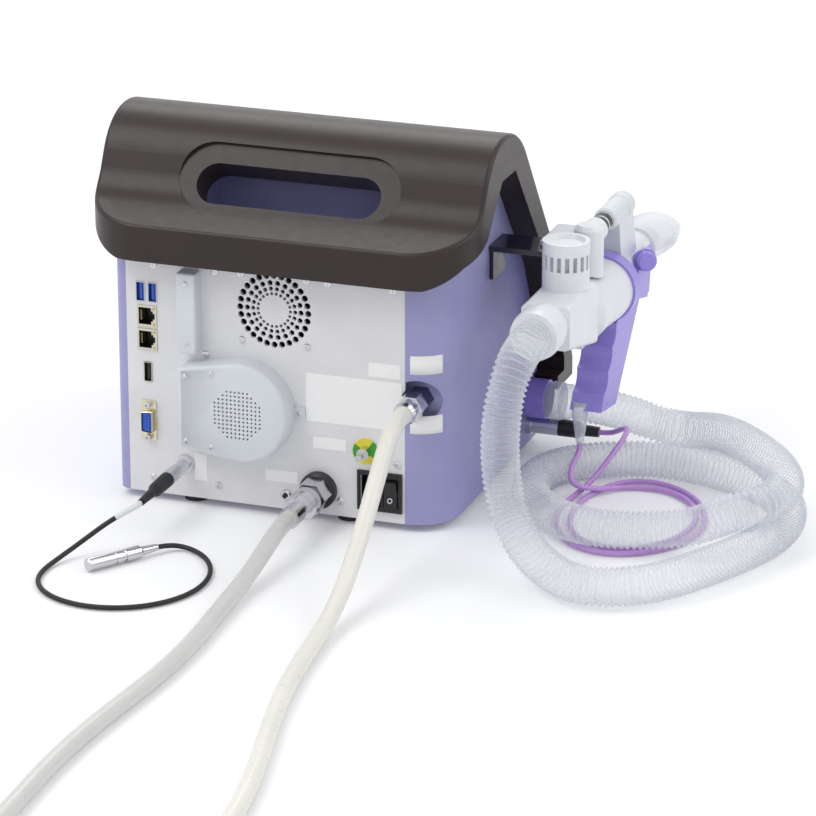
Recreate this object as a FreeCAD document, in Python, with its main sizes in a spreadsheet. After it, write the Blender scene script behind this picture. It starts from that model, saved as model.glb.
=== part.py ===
import FreeCAD, Part
import math
import os
import Sketcher
from FreeCAD import Placement, Rotation, Vector

# A multiple breath washout system: a bench unit with a peaked carrying hood, seen here with its rear
# connector panel towards -Y, a breathing handset held at its right side (+X), and its hoses and cables.
# Lengths are in mm and angles in degrees. Heights (z) are measured from the table. In this text x = 0 is
# the middle of the casing and y = 0 is the outer face of the rear panel; every piece is then shifted by
# origin_x and origin_y, so that the origin is under the middle of the whole object.

SIZES = {
    # casing and rear panel
    "case_half": 127.5,
    "case_front": 219,
    "case_bottom": 5.5,
    "wall": 2.5,
    "left_corner": 10,
    "right_corner": 31.5,
    "front_corner": 10,
    "panel_top": 188,
    "tray_thick": 3,
    "foot_radius": 9,
    "foot_spread": 60,
    "foot_rear": 14,
    "foot_front": 196,
    # hood: heights and depths of its bends, seen from the side
    "hood_half": 146.5,
    "brim_back": 23,
    "brim_low": 190,
    "brim_high": 216.5,
    "flare_y": 17.6,
    "flare_z": 229.5,
    "ridge_back": 43.4,
    "ridge_front": 103.3,
    "ridge_top": 280,
    "knee_y": 200,
    "knee_z": 152,
    "nose_y": 240,
    "nose_z": 66,
    "hood_low": 46,
    "hood_thick": 21,
    "eave_y": 33,
    "eave_z": 215,
    "loft_back": 65,
    "loft_front": 95,
    "loft_top": 249,
    "brim_corner": 47,
    "ridge_round": 46,
    "front_round": 60,
    "flare_round": 36,
    "knee_round": 80,
    "end_round": 3,
    "lip_high": 56,
    "lip_low": 46,
    "lip_back": 203.5,
    # carrying slot in the rear slope
    "slope_angle": 53.5,
    "dish_y": 13.5,
    "dish_z": 227,
    "dish_half": 84,
    "dish_radius": 26,
    "dish_along": 20,
    "slot_half": 70,
    "slot_radius": 15.5,
    "slot_along": 15.5,
    "well_front": 82,
    "well_floor": 194,
    "well_wall": 2.5,
    # front cover plate
    "cover_plate": 4,
    "cover_half": 118,
    # fan behind its punched grille
    "fan_x": -3,
    "fan_z": 156.7,
    "fan_side": 60,
    "fan_depth": 15,
    "fan_bore": 28.5,
    "fan_pitch": 50,
    "fan_hub": 12,
    "fan_pin": 1.5,
    "fan_running": 0.05,
    "blade_radius": 27.2,
    "blade_thick": 1.4,
    "blade_count": 7,
    # sockets on the panel
    "port_column": -101.5,
    "usb_z": 159.8,
    "usb_pitch": 9.4,
    "usb_wide": 7,
    "usb_tall": 15,
    "net_upper_z": 141.4,
    "net_pitch": 17.9,
    "net_wide": 15.4,
    "net_tall": 16.6,
    "video_z": 98.8,
    "video_wide": 6.4,
    "video_tall": 15.2,
    "screen_z": 61.4,
    "screen_nut_pitch": 25,
    "socket_depth": 14,
    # covers on the panel
    "duct_x": -66.5,
    "duct_wide": 15,
    "duct_low": 120,
    "duct_high": 181,
    "duct_deep": 12,
    "grille_x": -25.5,
    "grille_z": 81,
    "grille_radius": 38,
    "grille_left": -71.5,
    "grille_deep": 18,
    "grille_wall": 2,
    # mains inlet with rocker switch
    "inlet_x": 77.2,
    "inlet_z": 28.5,
    "inlet_wide": 34,
    "inlet_tall": 30,
    "inlet_deep": 24,
    "inlet_flange": 2,
    "plug_wide": 16,
    "plug_tall": 24,
    "plug_deep": 16,
    "rocker_wide": 10,
    "rocker_radius": 10,
    "rocker_gap": 0.8,
    "rocker_swing": 7,
    # earth terminal
    "earth_x": 66.5,
    "earth_z": 58,
    "earth_radius": 3,
    "earth_washer": 9.6,
    # gas inlets
    "gas_x": 30.6,
    "gas_z": 24.3,
    "gas_ring": 13.7,
    "gas_stem": 9.8,
    "gas_nut": 12.4,
    "gas_nut_end": 22,
    "gas_neck": 7.5,
    "gas_coupler_end": 62,
    "gas_sleeve": 11,
    "gas_slide": 4,
    "hose_radius": 6.2,
    "oxygen_x": 104,
    "oxygen_z": 99,
    "oxygen_cup": 16.5,
    "oxygen_depth": 13,
    "oxygen_hex": 9.5,
    "oxygen_nut_end": 26,
    # probe cable socket
    "probe_x": -73.3,
    "probe_z": 31.4,
    "probe_radius": 5,
    "probe_plug_end": 36,
    "boot_length": 48,
    "probe_cable": 1.8,
    # holder arm and handset
    "arm_z": 187,
    "arm_thick": 4,
    "arm_back": 92,
    "arm_front": 124,
    "arm_reach": 180,
    "handset_x": 192.5,
    "flow_z": 144,
    "tube_z": 150,
    "sample_z": 195,
    "tube_radius": 14,
    "housing_start": 92,
    "housing_end": 160,
    "housing_radius": 24,
    "tube_end": 264,
    "mouth_start": 244,
    "mouth_end": 345,
    "mouth_fit": 0.08,
    "mouth_wide": 23,
    "mouth_high": 15,
    "valve_y": 71,
    "drum_radius": 17,
    "drum_low": 174,
    "drum_high": 209,
    "collar_z": 160,
    "collar_radius": 18.5,
    "grip_y": 124,
    "grip_z": 61,
    "grip_tilt": 31.6,
    "grip_wide": 24,
    "grip_low_deep": 38.9,
    "grip_low_rise": 16.9,
    "grip_top_front": 96,
    "grip_top_deep": 56.2,
    "grip_top_rise": 112,
    "finger_pitch": 18,
    "finger_depth": 4,
    "knob_x": 213.3,
    "knob_y": 202.3,
    "knob_z": 155.9,
    "knob_radius": 7.5,
    "knob_turn": 35,
    # breathing hose and handset cable connections
    "port_y": 187,
    "port_z": 43,
    "port_radius": 15,
    "port_out": 17,
    "connector_out": 28,
    "hose_bore_radius": 14,
    "plug_y": 190,
    "plug_z": 20.5,
    "plug_radius": 6.5,
    "cable_radius": 2,
}

doc = FreeCAD.newDocument("washout")
sheet = doc.addObject("Spreadsheet::Sheet", "Dims")


class Size:
    """A length or angle that knows its number and the sheet formula that gives it."""

    def __init__(self, number, text):
        self.number = number
        self.text = text

    def __add__(self, other):
        return Size(self.number + number(other), f"({self.text} + {text(other)})")

    def __radd__(self, other):
        return Size(number(other) + self.number, f"({text(other)} + {self.text})")

    def __sub__(self, other):
        return Size(self.number - number(other), f"({self.text} - {text(other)})")

    def __rsub__(self, other):
        return Size(number(other) - self.number, f"({text(other)} - {self.text})")

    def __mul__(self, other):
        return Size(self.number * number(other), f"({self.text} * {text(other)})")

    def __rmul__(self, other):
        return Size(number(other) * self.number, f"({text(other)} * {self.text})")

    def __truediv__(self, other):
        return Size(self.number / number(other), f"({self.text} / {text(other)})")

    def __neg__(self):
        return Size(-self.number, f"(-1 * {self.text})")


def number(value):
    return value.number if isinstance(value, Size) else float(value)


def text(value):
    return value.text if isinstance(value, Size) else repr(float(value))


def sine(angle):
    return Size(math.sin(math.radians(number(angle))), f"sin({text(angle)} * 1 deg)")


def cosine(angle):
    return Size(math.cos(math.radians(number(angle))), f"cos({text(angle)} * 1 deg)")


class Sizes:
    """The driving dimensions, one sheet cell with an alias for each."""

    def __init__(self, values):
        for row, (name, value) in enumerate(values.items(), start=1):
            sheet.set(f"A{row}", name)
            sheet.set(f"B{row}", str(value))
            sheet.setAlias(f"B{row}", name)
            setattr(self, name, Size(float(value), f"Dims.{name}"))


d = Sizes(SIZES)
doc.recompute()

panel_left = -d.case_half + d.left_corner
panel_right = d.case_half - d.right_corner
panel_middle = (panel_left + panel_right) / 2
handset_reach = d.handset_x + d.housing_radius + 2
origin_x = (handset_reach - d.hood_half) / 2
origin_y = (d.mouth_end - d.brim_back) / 2

nodes = []
SKY = 400
SIDES = (-1, 1)
NORMAL_SIGN = {"XY": 1, "XZ": -1, "YZ": 1}


def bind(obj, prop, value):
    """Give a property its number, and its sheet formula when it has one."""
    if isinstance(value, Size):
        obj.setExpression(prop, value.text)


def finish(obj, label, at=(0, 0, 0), turn=None):
    """Name a piece, put it at its place in the shifted frame and keep it for writing."""
    obj.Label = label
    place = (at[0] - origin_x, at[1] - origin_y, at[2])
    rotation = Rotation(turn[0], number(turn[1])) if turn else Rotation()
    obj.Placement = Placement(Vector(*[number(value) for value in place]), rotation)
    for letter, value in zip("xyz", place):
        bind(obj, f"Placement.Base.{letter}", value)
    if turn:
        bind(obj, "Placement.Rotation.Angle", turn[1])
    nodes.append(obj)
    return obj


def new_body(name):
    return doc.addObject("PartDesign::Body", name)


class Round:
    """An outline's arc between its neighbours in the list, about a centre."""

    def __init__(self, x, y, counterclockwise=True):
        self.x = x
        self.y = y
        self.counterclockwise = counterclockwise


class Circle:
    def __init__(self, x, y, radius):
        self.x = x
        self.y = y
        self.radius = radius


def hold(sketch, kind, geometry, point, value):
    index = sketch.addConstraint(Sketcher.Constraint(kind, -1, 1, geometry, point, number(value)))
    bind(sketch, f"Constraints[{index}]", value)


def hold_point(sketch, geometry, point, x, y, kinds=("DistanceX", "DistanceY")):
    for kind, value in zip(("DistanceX", "DistanceY"), (x, y)):
        if kind in kinds:
            hold(sketch, kind, geometry, point, value)


def draw_circle(sketch, circle):
    centre = Vector(number(circle.x), number(circle.y), 0)
    index = sketch.addGeometry(Part.Circle(centre, Vector(0, 0, 1), number(circle.radius)), False)
    hold_point(sketch, index, 3, circle.x, circle.y)
    radius = sketch.addConstraint(Sketcher.Constraint("Radius", index, number(circle.radius)))
    bind(sketch, f"Constraints[{radius}]", circle.radius)


def flat(x, y):
    return Vector(number(x), number(y), 0)


def draw_loop(sketch, items):
    """Draw a closed outline of points (x, y) with Round arcs between them."""
    corners = [index for index, item in enumerate(items) if not isinstance(item, Round)]
    edges = []
    for place, index in enumerate(corners):
        after = corners[(place + 1) % len(corners)]
        start = flat(*items[index])
        end = flat(*items[after])
        between = items[(index + 1) % len(items)]
        if isinstance(between, Round):
            centre = flat(between.x, between.y)
            first, last = (start, end) if between.counterclockwise else (end, start)
            circle = Part.Circle(centre, Vector(0, 0, 1), (start - centre).Length)
            angles = [math.atan2(p.y - centre.y, p.x - centre.x) for p in (first, last)]
            geometry = Part.ArcOfCircle(circle, angles[0], angles[1])
            ends = (1, 2) if between.counterclockwise else (2, 1)
        else:
            between = None
            geometry = Part.LineSegment(start, end)
            ends = (1, 2)
        edges.append((sketch.addGeometry(geometry, False), ends, between))
    for place, (edge, ends, arc) in enumerate(edges):
        following, following_ends, _ = edges[(place + 1) % len(edges)]
        sketch.addConstraint(Sketcher.Constraint("Coincident", edge, ends[1], following, following_ends[0]))
        if arc:
            hold_point(sketch, edge, 3, arc.x, arc.y)
        x, y = items[corners[place]]
        arc_before = edges[place - 1][2]
        kinds = ("DistanceX", "DistanceY")
        if arc_before:
            across = abs(number(x) - number(arc_before.x)) > abs(number(y) - number(arc_before.y))
            kinds = ("DistanceY",) if across else ("DistanceX",)
        hold_point(sketch, edge, ends[0], x, y, kinds)


def draw(body, plane, height, loops, tilt=None):
    """A sketch on one of the body's own planes, moved along that plane's global axis."""
    sketch = body.newObject("Sketcher::SketchObject", body.Name + "_outline")
    origin = [item for item in body.Origin.OriginFeatures if item.Role == plane + "_Plane"][0]
    sketch.AttachmentSupport = (origin, "")
    sketch.MapMode = "FlatFace"
    if tilt:
        angle, y, z = tilt
        base = Vector(0, number(y), number(z))
        sketch.AttachmentOffset = Placement(base, Rotation(Vector(1, 0, 0), number(angle)))
        bind(sketch, "AttachmentOffset.Base.y", y)
        bind(sketch, "AttachmentOffset.Base.z", z)
        bind(sketch, "AttachmentOffset.Rotation.Angle", angle)
    else:
        offset = height * NORMAL_SIGN[plane]
        sketch.AttachmentOffset = Placement(Vector(0, 0, number(offset)), Rotation())
        bind(sketch, "AttachmentOffset.Base.z", offset)
    for loop in loops:
        if isinstance(loop, Circle):
            draw_circle(sketch, loop)
        else:
            draw_loop(sketch, loop)
    return sketch


def grow(body, plane, low, high, loops, cut=False, tilt=None):
    """Add (or cut) the outline's prism from low to high along the plane's global axis."""
    sketch = draw(body, plane, low, loops, tilt)
    kind = "Pocket" if cut else "Pad"
    feature = body.newObject("PartDesign::" + kind, body.Name + "_" + kind.lower())
    feature.Profile = sketch
    length = high - low
    feature.Length = number(length)
    bind(feature, "Length", length)
    along = NORMAL_SIGN[plane] > 0
    feature.Reversed = along if cut else not along
    return feature


def carve(body, plane, low, high, loops, tilt=None):
    """Cut the outline's prism and make sure that it took material away."""
    doc.recompute()
    before = body.Shape.Volume
    feature = grow(body, plane, low, high, loops, cut=True, tilt=tilt)
    doc.recompute()
    if body.Shape.Volume >= before - 1e-6:
        raise RuntimeError(f"a cut in {body.Name} takes nothing away")
    return feature


def lathe(body, axis, centre, stations, cut=False):
    """Turn a half profile of (place along the axis, radius) points about an axis."""
    if axis == "Y":
        plane, height, middle = "YZ", centre[0], centre[1]
    elif axis == "X":
        plane, height, middle = "XZ", centre[0], centre[1]
    else:
        plane, height, middle = "XZ", centre[1], centre[0]
    upright = axis == "Z"
    points = [(middle + r, a) if upright else (a, middle + r) for a, r in stations]
    sketch = draw(body, plane, height, [points])
    along = [number(a) for a, _ in stations]
    ends = [(middle, a) if upright else (a, middle) for a in (min(along), max(along))]
    line = sketch.addGeometry(Part.LineSegment(flat(*ends[0]), flat(*ends[1])), True)
    hold_point(sketch, line, 1, *ends[0])
    hold_point(sketch, line, 2, *ends[1])
    kind = "Groove" if cut else "Revolution"
    feature = body.newObject("PartDesign::" + kind, body.Name + "_" + kind.lower())
    feature.Profile = sketch
    feature.ReferenceAxis = (sketch, ["Axis0"])
    feature.Angle = 360
    return feature


def soften(body, radius, chosen, kind="Fillet"):
    """Round the edges that the chosen test picks, by each edge's middle point and direction."""
    doc.recompute()
    base = body.Tip
    names = []
    for index, edge in enumerate(base.Shape.Edges, start=1):
        middle = edge.valueAt((edge.FirstParameter + edge.LastParameter) / 2)
        direction = edge.tangentAt((edge.FirstParameter + edge.LastParameter) / 2)
        if chosen(middle, direction):
            names.append(f"Edge{index}")
    if not names:
        raise RuntimeError(f"no edge to round on {body.Name}")
    feature = body.newObject("PartDesign::" + kind, body.Name + "_" + kind.lower())
    feature.Base = (base, names)
    prop = "Radius" if kind == "Fillet" else "Size"
    setattr(feature, prop, number(radius))
    bind(feature, prop, radius)
    return feature


def rectangle(x1, y1, x2, y2):
    return [(x1, y1), (x2, y1), (x2, y2), (x1, y2)]


def window(x, z, wide, tall):
    """A rectangle by its middle and its size."""
    return rectangle(x - wide / 2, z - tall / 2, x + wide / 2, z + tall / 2)


def stadium(half, radius, y):
    """A long slot outline with round ends, centred on x = 0 at height y."""
    flat_half = half - radius
    return [(-flat_half, y - radius), (flat_half, y - radius), Round(flat_half, y),
            (flat_half, y + radius), (-flat_half, y + radius), Round(-flat_half, y)]


def tube(body, axis, centre, low, high, outer, inner=None):
    """A plain round rod or ring along an axis."""
    inner = 0 if inner is None else inner
    return lathe(body, axis, centre, [(low, inner), (high, inner), (high, outer), (low, outer)])


def cylinder(radius, length, at, direction="-Y"):
    """A small round solid for a group, standing on its base point."""
    rod = doc.addObject("Part::Cylinder", "rod")
    rod.Radius = number(radius)
    rod.Height = number(length)
    bind(rod, "Radius", radius)
    bind(rod, "Height", length)
    turns = {"-Y": Rotation(Vector(1, 0, 0), 90), "Z": Rotation(), "X": Rotation(Vector(0, 1, 0), 90)}
    rod.Placement = Placement(Vector(*[number(value) for value in at]), turns[direction])
    for letter, value in zip("xyz", at):
        bind(rod, f"Placement.Base.{letter}", value)
    return rod


def block(low, high):
    """A plain box for a group, between two corners."""
    box = doc.addObject("Part::Box", "box")
    spans = [top - bottom for bottom, top in zip(low, high)]
    for prop, value in zip(("Length", "Width", "Height"), spans):
        setattr(box, prop, number(value))
        bind(box, prop, value)
    box.Placement = Placement(Vector(*[number(value) for value in low]), Rotation())
    for letter, value in zip("xyz", low):
        bind(box, f"Placement.Base.{letter}", value)
    return box


def fused(name, pieces):
    whole = doc.addObject("Part::MultiFuse", name)
    whole.Shapes = pieces
    return whole


def without(name, base, tool):
    cut = doc.addObject("Part::Cut", name)
    cut.Base = base
    cut.Tool = tool
    return cut


def grouped(name, pieces):
    group = doc.addObject("Part::Compound", name)
    group.Links = pieces
    return group


# Casing


def case_outline(inset):
    """The casing's plan outline, drawn in by a wall: a large corner at the right rear."""
    half = d.case_half - inset
    front = d.case_front - inset
    rear = inset
    left, right, nose = d.left_corner, d.right_corner, d.front_corner
    return [(-d.case_half + left, rear), (d.case_half - right, rear), Round(d.case_half - right, right),
            (half, right), (half, d.case_front - nose), Round(d.case_half - nose, d.case_front - nose),
            (d.case_half - nose, front), (-d.case_half + nose, front),
            Round(-d.case_half + nose, d.case_front - nose), (-half, d.case_front - nose),
            (-half, left), Round(-d.case_half + left, left)]


def roof_line():
    """The hood's inner line from the side, from its rear edge over the ridge to its front edge."""
    thick = d.hood_thick
    return [(-d.brim_back + 3, d.brim_low),
            (0, d.brim_low + 13.5),
            (d.eave_y, d.eave_z),
            (d.loft_back, d.loft_top),
            (d.loft_front, d.loft_top),
            (d.knee_y - thick * 1.15, d.knee_z),
            (d.nose_y - thick, d.nose_z),
            (d.nose_y - thick, d.hood_low)]


def casing(name, side):
    """One half of the lavender casing: a wall that stands on the tray and reaches up under the hood."""
    body = new_body(name)
    grow(body, "XY", d.case_bottom, SKY, [case_outline(0)])
    carve(body, "XY", d.case_bottom - 1, SKY + 1, [case_outline(d.wall)])
    far = d.case_half + 10
    above = roof_line()
    cutter = above + [(above[-1][0] + 80, above[-1][1]), (above[-1][0] + 80, d.ridge_top + 200),
                      (above[0][0] - 40, d.ridge_top + 200), (above[0][0] - 40, above[0][1])]
    carve(body, "YZ", -far, far, [cutter])
    other = [(0, -50), (far * -side, -50), (far * -side, 300), (0, 300)]
    carve(body, "XY", d.case_bottom - 2, d.case_bottom + SKY, [other])
    carve(body, "XZ", -5, d.wall, [rectangle(panel_left, d.case_bottom - 3,
                                                             panel_right, d.panel_top)])
    return body


left_casing = casing("left_casing", -1)
finish(left_casing, "left_casing")


def right_side():
    """The right half also carries the cup that the oxygen connection sits in, in its rear corner."""
    body = casing("right_casing", 1)
    cup = Circle(d.oxygen_x, d.oxygen_z, d.oxygen_cup + d.wall)
    deep = d.oxygen_depth + d.wall
    grow(body, "XZ", 0.2, deep, [cup])
    corner = (d.case_half - d.right_corner, d.right_corner)
    outside = [(corner[0], -10), (d.case_half + 20, -10),
               (d.case_half + 20, corner[1]), (d.case_half, corner[1]),
               Round(corner[0], corner[1], False), (corner[0], 0)]
    carve(body, "XY", d.case_bottom - 2, d.case_bottom + SKY, [outside])
    carve(body, "XZ", -5, d.oxygen_depth, [Circle(d.oxygen_x, d.oxygen_z, d.oxygen_cup)])
    carve(body, "XZ", 0.1, d.wall, [rectangle(d.oxygen_x - d.oxygen_cup - d.wall - 1, d.oxygen_z - 30,
                                              panel_right, d.oxygen_z + 30)])
    return body


right_casing = right_side()
finish(right_casing, "right_casing")


def base_tray():
    body = new_body("base_tray")
    grow(body, "XY", d.case_bottom, d.case_bottom + d.tray_thick, [case_outline(d.wall)])
    return body


finish(base_tray(), "base_tray")

foot_places = [(panel_middle + side * d.foot_spread, y) for side in SIDES for y in (d.foot_rear,
                                                                                    d.foot_front)]
feet = [cylinder(d.foot_radius, d.case_bottom, (x, y, 0), "Z") for x, y in foot_places]
finish(grouped("rubber_feet_group", feet), "rubber_feet")


# Hood


def hood_outline():
    """The hood seen from the side: outer line from the brim over the ridge to the nose, then back inside."""
    outer = [(-d.brim_back, d.brim_low), (-d.brim_back, d.brim_high), (d.flare_y, d.flare_z),
             (d.ridge_back, d.ridge_top), (d.ridge_front, d.ridge_top), (d.knee_y, d.knee_z),
             (d.nose_y, d.nose_z), (d.nose_y, d.hood_low)]
    return outer + list(reversed(roof_line()))


def top_hood():
    body = new_body("top_hood")
    grow(body, "YZ", -d.hood_half, d.hood_half, [hood_outline()])
    bends = ((d.ridge_back, d.ridge_top, d.ridge_round), (d.ridge_front, d.ridge_top, d.front_round),
             (d.flare_y, d.flare_z, d.flare_round), (d.knee_y, d.knee_z, d.knee_round))
    for y, z, radius in bends:
        soften(body, radius, lambda p, t: abs(t.x) > 0.99 and abs(p.y - number(y)) < 1 and abs(p.z - number(z)) < 1)
    reach = d.hood_half + 5
    round_x = d.hood_half - d.brim_corner
    round_y = d.brim_corner - d.brim_back
    for side in SIDES:
        corner = [(side * round_x, -d.brim_back - 5), (side * reach, -d.brim_back - 5),
                  (side * reach, round_y), (side * d.hood_half, round_y),
                  Round(side * round_x, round_y, side < 0), (side * round_x, -d.brim_back)]
        carve(body, "XY", d.brim_low - 10, d.ridge_top + 10, [corner])
    end = number(d.hood_half)
    line = [number(value) for value in (d.flare_y, d.knee_y)]
    soften(body, d.end_round, lambda p, t: abs(abs(p.x) - end) < 0.01 and line[0] < p.y < line[1]
           and on_outer_side(p))
    for side in SIDES:
        inner = side * d.case_half
        lip = rectangle(d.lip_back, d.lip_low, d.nose_y - d.hood_thick + 1, d.lip_high)
        low, high = (inner, side * d.hood_half) if side > 0 else (side * d.hood_half, inner)
        grow(body, "YZ", low, high, [lip])
    dish_tilt = (d.slope_angle, d.dish_y, d.dish_z)
    carve_tilted(body, d.dish_half, d.dish_radius, d.dish_along, dish_tilt, up=True)
    carve_tilted(body, d.slot_half, d.slot_radius, d.slot_along, dish_tilt, up=False)
    return body


def on_outer_side(p):
    """Whether a point of an end face lies on the hood's outer line, not on its inner one."""
    slope = (number(d.flare_z) - number(d.ridge_top)) / (number(d.flare_y) - number(d.ridge_back))
    rear = number(d.flare_z) + (p.y - number(d.flare_y)) * slope
    fall = (number(d.knee_z) - number(d.ridge_top)) / (number(d.knee_y) - number(d.ridge_front))
    front = number(d.ridge_top) + (p.y - number(d.ridge_front)) * fall
    return p.z > min(rear, front, number(d.ridge_top)) - number(d.hood_thick) / 2


def carve_tilted(body, half, radius, along, tilt, up):
    """Cut a stadium square to the rear slope: outwards for the dish, inwards for the slot."""
    doc.recompute()
    before = body.Shape.Volume
    sketch = draw(body, "XY", None, [stadium(half, radius, along)], tilt)
    feature = body.newObject("PartDesign::Pocket", "top_hood_pocket")
    feature.Profile = sketch
    feature.Length = 60
    feature.Reversed = up
    doc.recompute()
    if body.Shape.Volume >= before - 1e-6:
        raise RuntimeError("the carrying slot takes nothing away")


finish(top_hood(), "top_hood")


def handle_well():
    """The lavender trough under the carrying slot, where the fingers go."""
    body = new_body("handle_well")
    rear = d.wall + 0.5
    front = d.well_front
    half = d.slot_half + 8
    grow(body, "XY", d.well_floor - d.well_wall, d.ridge_top, [rectangle(-half, rear, half, front)])
    above = roof_line()
    cutter = above + [(above[-1][0] + 80, above[-1][1]), (above[-1][0] + 80, d.ridge_top + 200),
                      (above[0][0] - 40, d.ridge_top + 200), (above[0][0] - 40, above[0][1])]
    carve(body, "YZ", -half - 1, half + 1, [cutter])
    inner = half - d.well_wall
    cavity = rectangle(-inner, rear + d.well_wall, inner, front - d.well_wall)
    carve(body, "XY", d.well_floor, d.ridge_top, [cavity])
    return body


finish(handle_well(), "handle_well")


def front_cover():
    """The light cover plate on the steep front of the hood."""
    body = new_body("front_cover")
    run = d.nose_y - d.knee_y
    fall = d.knee_z - d.nose_z
    out = d.cover_plate
    top = (d.knee_y + run * 0.3, d.knee_z - fall * 0.3)
    low = (d.nose_y, d.nose_z)
    plate = [top, (top[0] + out, top[1] + out * 0.3), (low[0] + out, low[1] + out * 0.3),
             (low[0] + out, d.hood_low + 4), (low[0], d.hood_low + 4), low]
    grow(body, "YZ", -d.cover_half, d.cover_half, [plate])
    return body


finish(front_cover(), "front_cover")


# Rear panel and what it carries

FAN_RINGS = ((26, 2.4, 28), (20.5, 2.0, 22), (16.1, 1.6, 22), (12.4, 1.2, 22))
SCREW_PLACES = ((-95.5, 181), (-48.1, 181), (38.3, 181), (87.2, 181), (-56, 117.4), (-99, 17),
                (-47.7, 17), (47, 17), (90.5, 50.5))
SCREW_RADIUS = 2.8
SCREW_HEAD = 1.4


def ring_holes(radius, hole, count):
    """Round holes evenly spaced on one circle about the fan's axis."""
    places = [360 / count * index for index in range(count)]
    return [Circle(d.fan_x + radius * cosine(angle), d.fan_z + radius * sine(angle),
                   hole) for angle in places]


def rear_panel():
    body = new_body("rear_panel")
    sheet_outline = rectangle(panel_left, d.case_bottom, panel_right, d.panel_top)
    grow(body, "XZ", 0, d.wall, [sheet_outline])
    through = (-1, d.wall + 1)
    for radius, hole, count in FAN_RINGS:
        carve(body, "XZ", *through, ring_holes(radius, hole, count))
    usb = [window(d.port_column + side * d.usb_pitch / 2, d.usb_z, d.usb_wide, d.usb_tall) for side in SIDES]
    network = [window(d.port_column, d.net_upper_z - d.net_pitch * row, d.net_wide, d.net_tall)
               for row in (0, 1)]
    video = window(d.port_column, d.video_z, d.video_wide, d.video_tall)
    screen = window(d.port_column, d.screen_z, 9, 17)
    inlet = window(d.inlet_x, d.inlet_z, d.inlet_wide - 4, d.inlet_tall - 4)
    round_holes = [Circle(d.gas_x, d.gas_z, d.gas_stem + 0.1),
                   Circle(d.earth_x, d.earth_z, d.earth_radius + 0.1),
                   Circle(d.probe_x, d.probe_z, d.probe_radius + 0.1)]
    carve(body, "XZ", *through, usb + network + [video, screen, inlet] + round_holes)
    carve(body, "XZ", *through, [Circle(d.oxygen_x, d.oxygen_z, d.oxygen_hex + 2)])
    return body


finish(rear_panel(), "rear_panel")

head_places = [(Size(x, str(x)), 0, Size(z, str(z))) for x, z in SCREW_PLACES]
fan_screws = [(d.fan_x + dx * d.fan_pitch / 2, 0, d.fan_z + dz * d.fan_pitch / 2)
              for dx in SIDES for dz in SIDES]
heads = [cylinder(SCREW_RADIUS, SCREW_HEAD, place) for place in head_places + fan_screws]


def fan_frame():
    """A square frame with a round duct, four spokes and a motor pin."""
    body = new_body("fan_frame")
    half = d.fan_side / 2
    rear = d.wall + d.fan_depth
    square = rectangle(d.fan_x - half, d.fan_z - half, d.fan_x + half, d.fan_z + half)
    grow(body, "XZ", d.wall, rear, [square, Circle(d.fan_x, d.fan_z, d.fan_bore)])
    spoke_back = rear - 2
    arm = d.fan_bore + 1
    grow(body, "XZ", spoke_back, rear, [[(d.fan_x - arm, d.fan_z - 1.5), (d.fan_x + arm, d.fan_z - 1.5),
                                         (d.fan_x + arm, d.fan_z + 1.5), (d.fan_x - arm, d.fan_z + 1.5)]])
    grow(body, "XZ", spoke_back, rear, [[(d.fan_x - 1.5, d.fan_z - arm), (d.fan_x + 1.5, d.fan_z - arm),
                                         (d.fan_x + 1.5, d.fan_z + arm), (d.fan_x - 1.5, d.fan_z + arm)]])
    grow(body, "XZ", spoke_back, rear, [Circle(d.fan_x, d.fan_z, d.fan_hub)])
    grow(body, "XZ", d.wall + 3.5, spoke_back + 1, [Circle(d.fan_x, d.fan_z, d.fan_pin)])
    return body


finish(fan_frame(), "fan_frame")


def fan_rotor():
    """Hub and pitched blades that turn on the motor pin."""
    body = new_body("fan_rotor")
    front = d.wall + 1.5
    rear = d.wall + d.fan_depth - 3
    tube(body, "Y", (d.fan_x, d.fan_z), front, rear, d.fan_hub, d.fan_pin + d.fan_running)
    blade_low = front + 1
    root = d.fan_hub - 1
    lean = 4
    blade = [(-d.blade_thick - lean, blade_low), (-lean, blade_low), (lean + d.blade_thick, rear - 1),
             (lean, rear - 1)]
    fan_blades(body, blade, root)
    return body


def fan_blades(body, blade, root):
    """One pitched blade grown from the hub, then repeated round the axis."""
    moved = [(d.fan_x + x, y) for x, y in blade]
    sketch = draw(body, "XY", d.fan_z + root, [moved])
    pad = body.newObject("PartDesign::Pad", "fan_blade")
    pad.Profile = sketch
    length = d.blade_radius - root - 0.4
    pad.Length = number(length)
    bind(pad, "Length", length)
    doc.recompute()
    pattern = body.newObject("PartDesign::PolarPattern", "fan_blades")
    pattern.Originals = [pad]
    axis_sketch = body.newObject("Sketcher::SketchObject", "fan_axis")
    plane = [item for item in body.Origin.OriginFeatures if item.Role == "YZ_Plane"][0]
    axis_sketch.AttachmentSupport = (plane, "")
    axis_sketch.MapMode = "FlatFace"
    axis_sketch.AttachmentOffset = Placement(Vector(0, 0, number(d.fan_x)), Rotation())
    bind(axis_sketch, "AttachmentOffset.Base.z", d.fan_x)
    line = axis_sketch.addGeometry(Part.LineSegment(flat(0, d.fan_z), flat(10, d.fan_z)), True)
    hold_point(axis_sketch, line, 1, 0, d.fan_z)
    hold_point(axis_sketch, line, 2, 10, d.fan_z)
    pattern.Axis = (axis_sketch, ["Axis0"])
    pattern.Angle = 360
    pattern.Occurrences = int(number(d.blade_count))
    pattern.setExpression("Occurrences", d.blade_count.text)
    body.Tip = pattern


finish(fan_rotor(), "fan_rotor")


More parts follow.
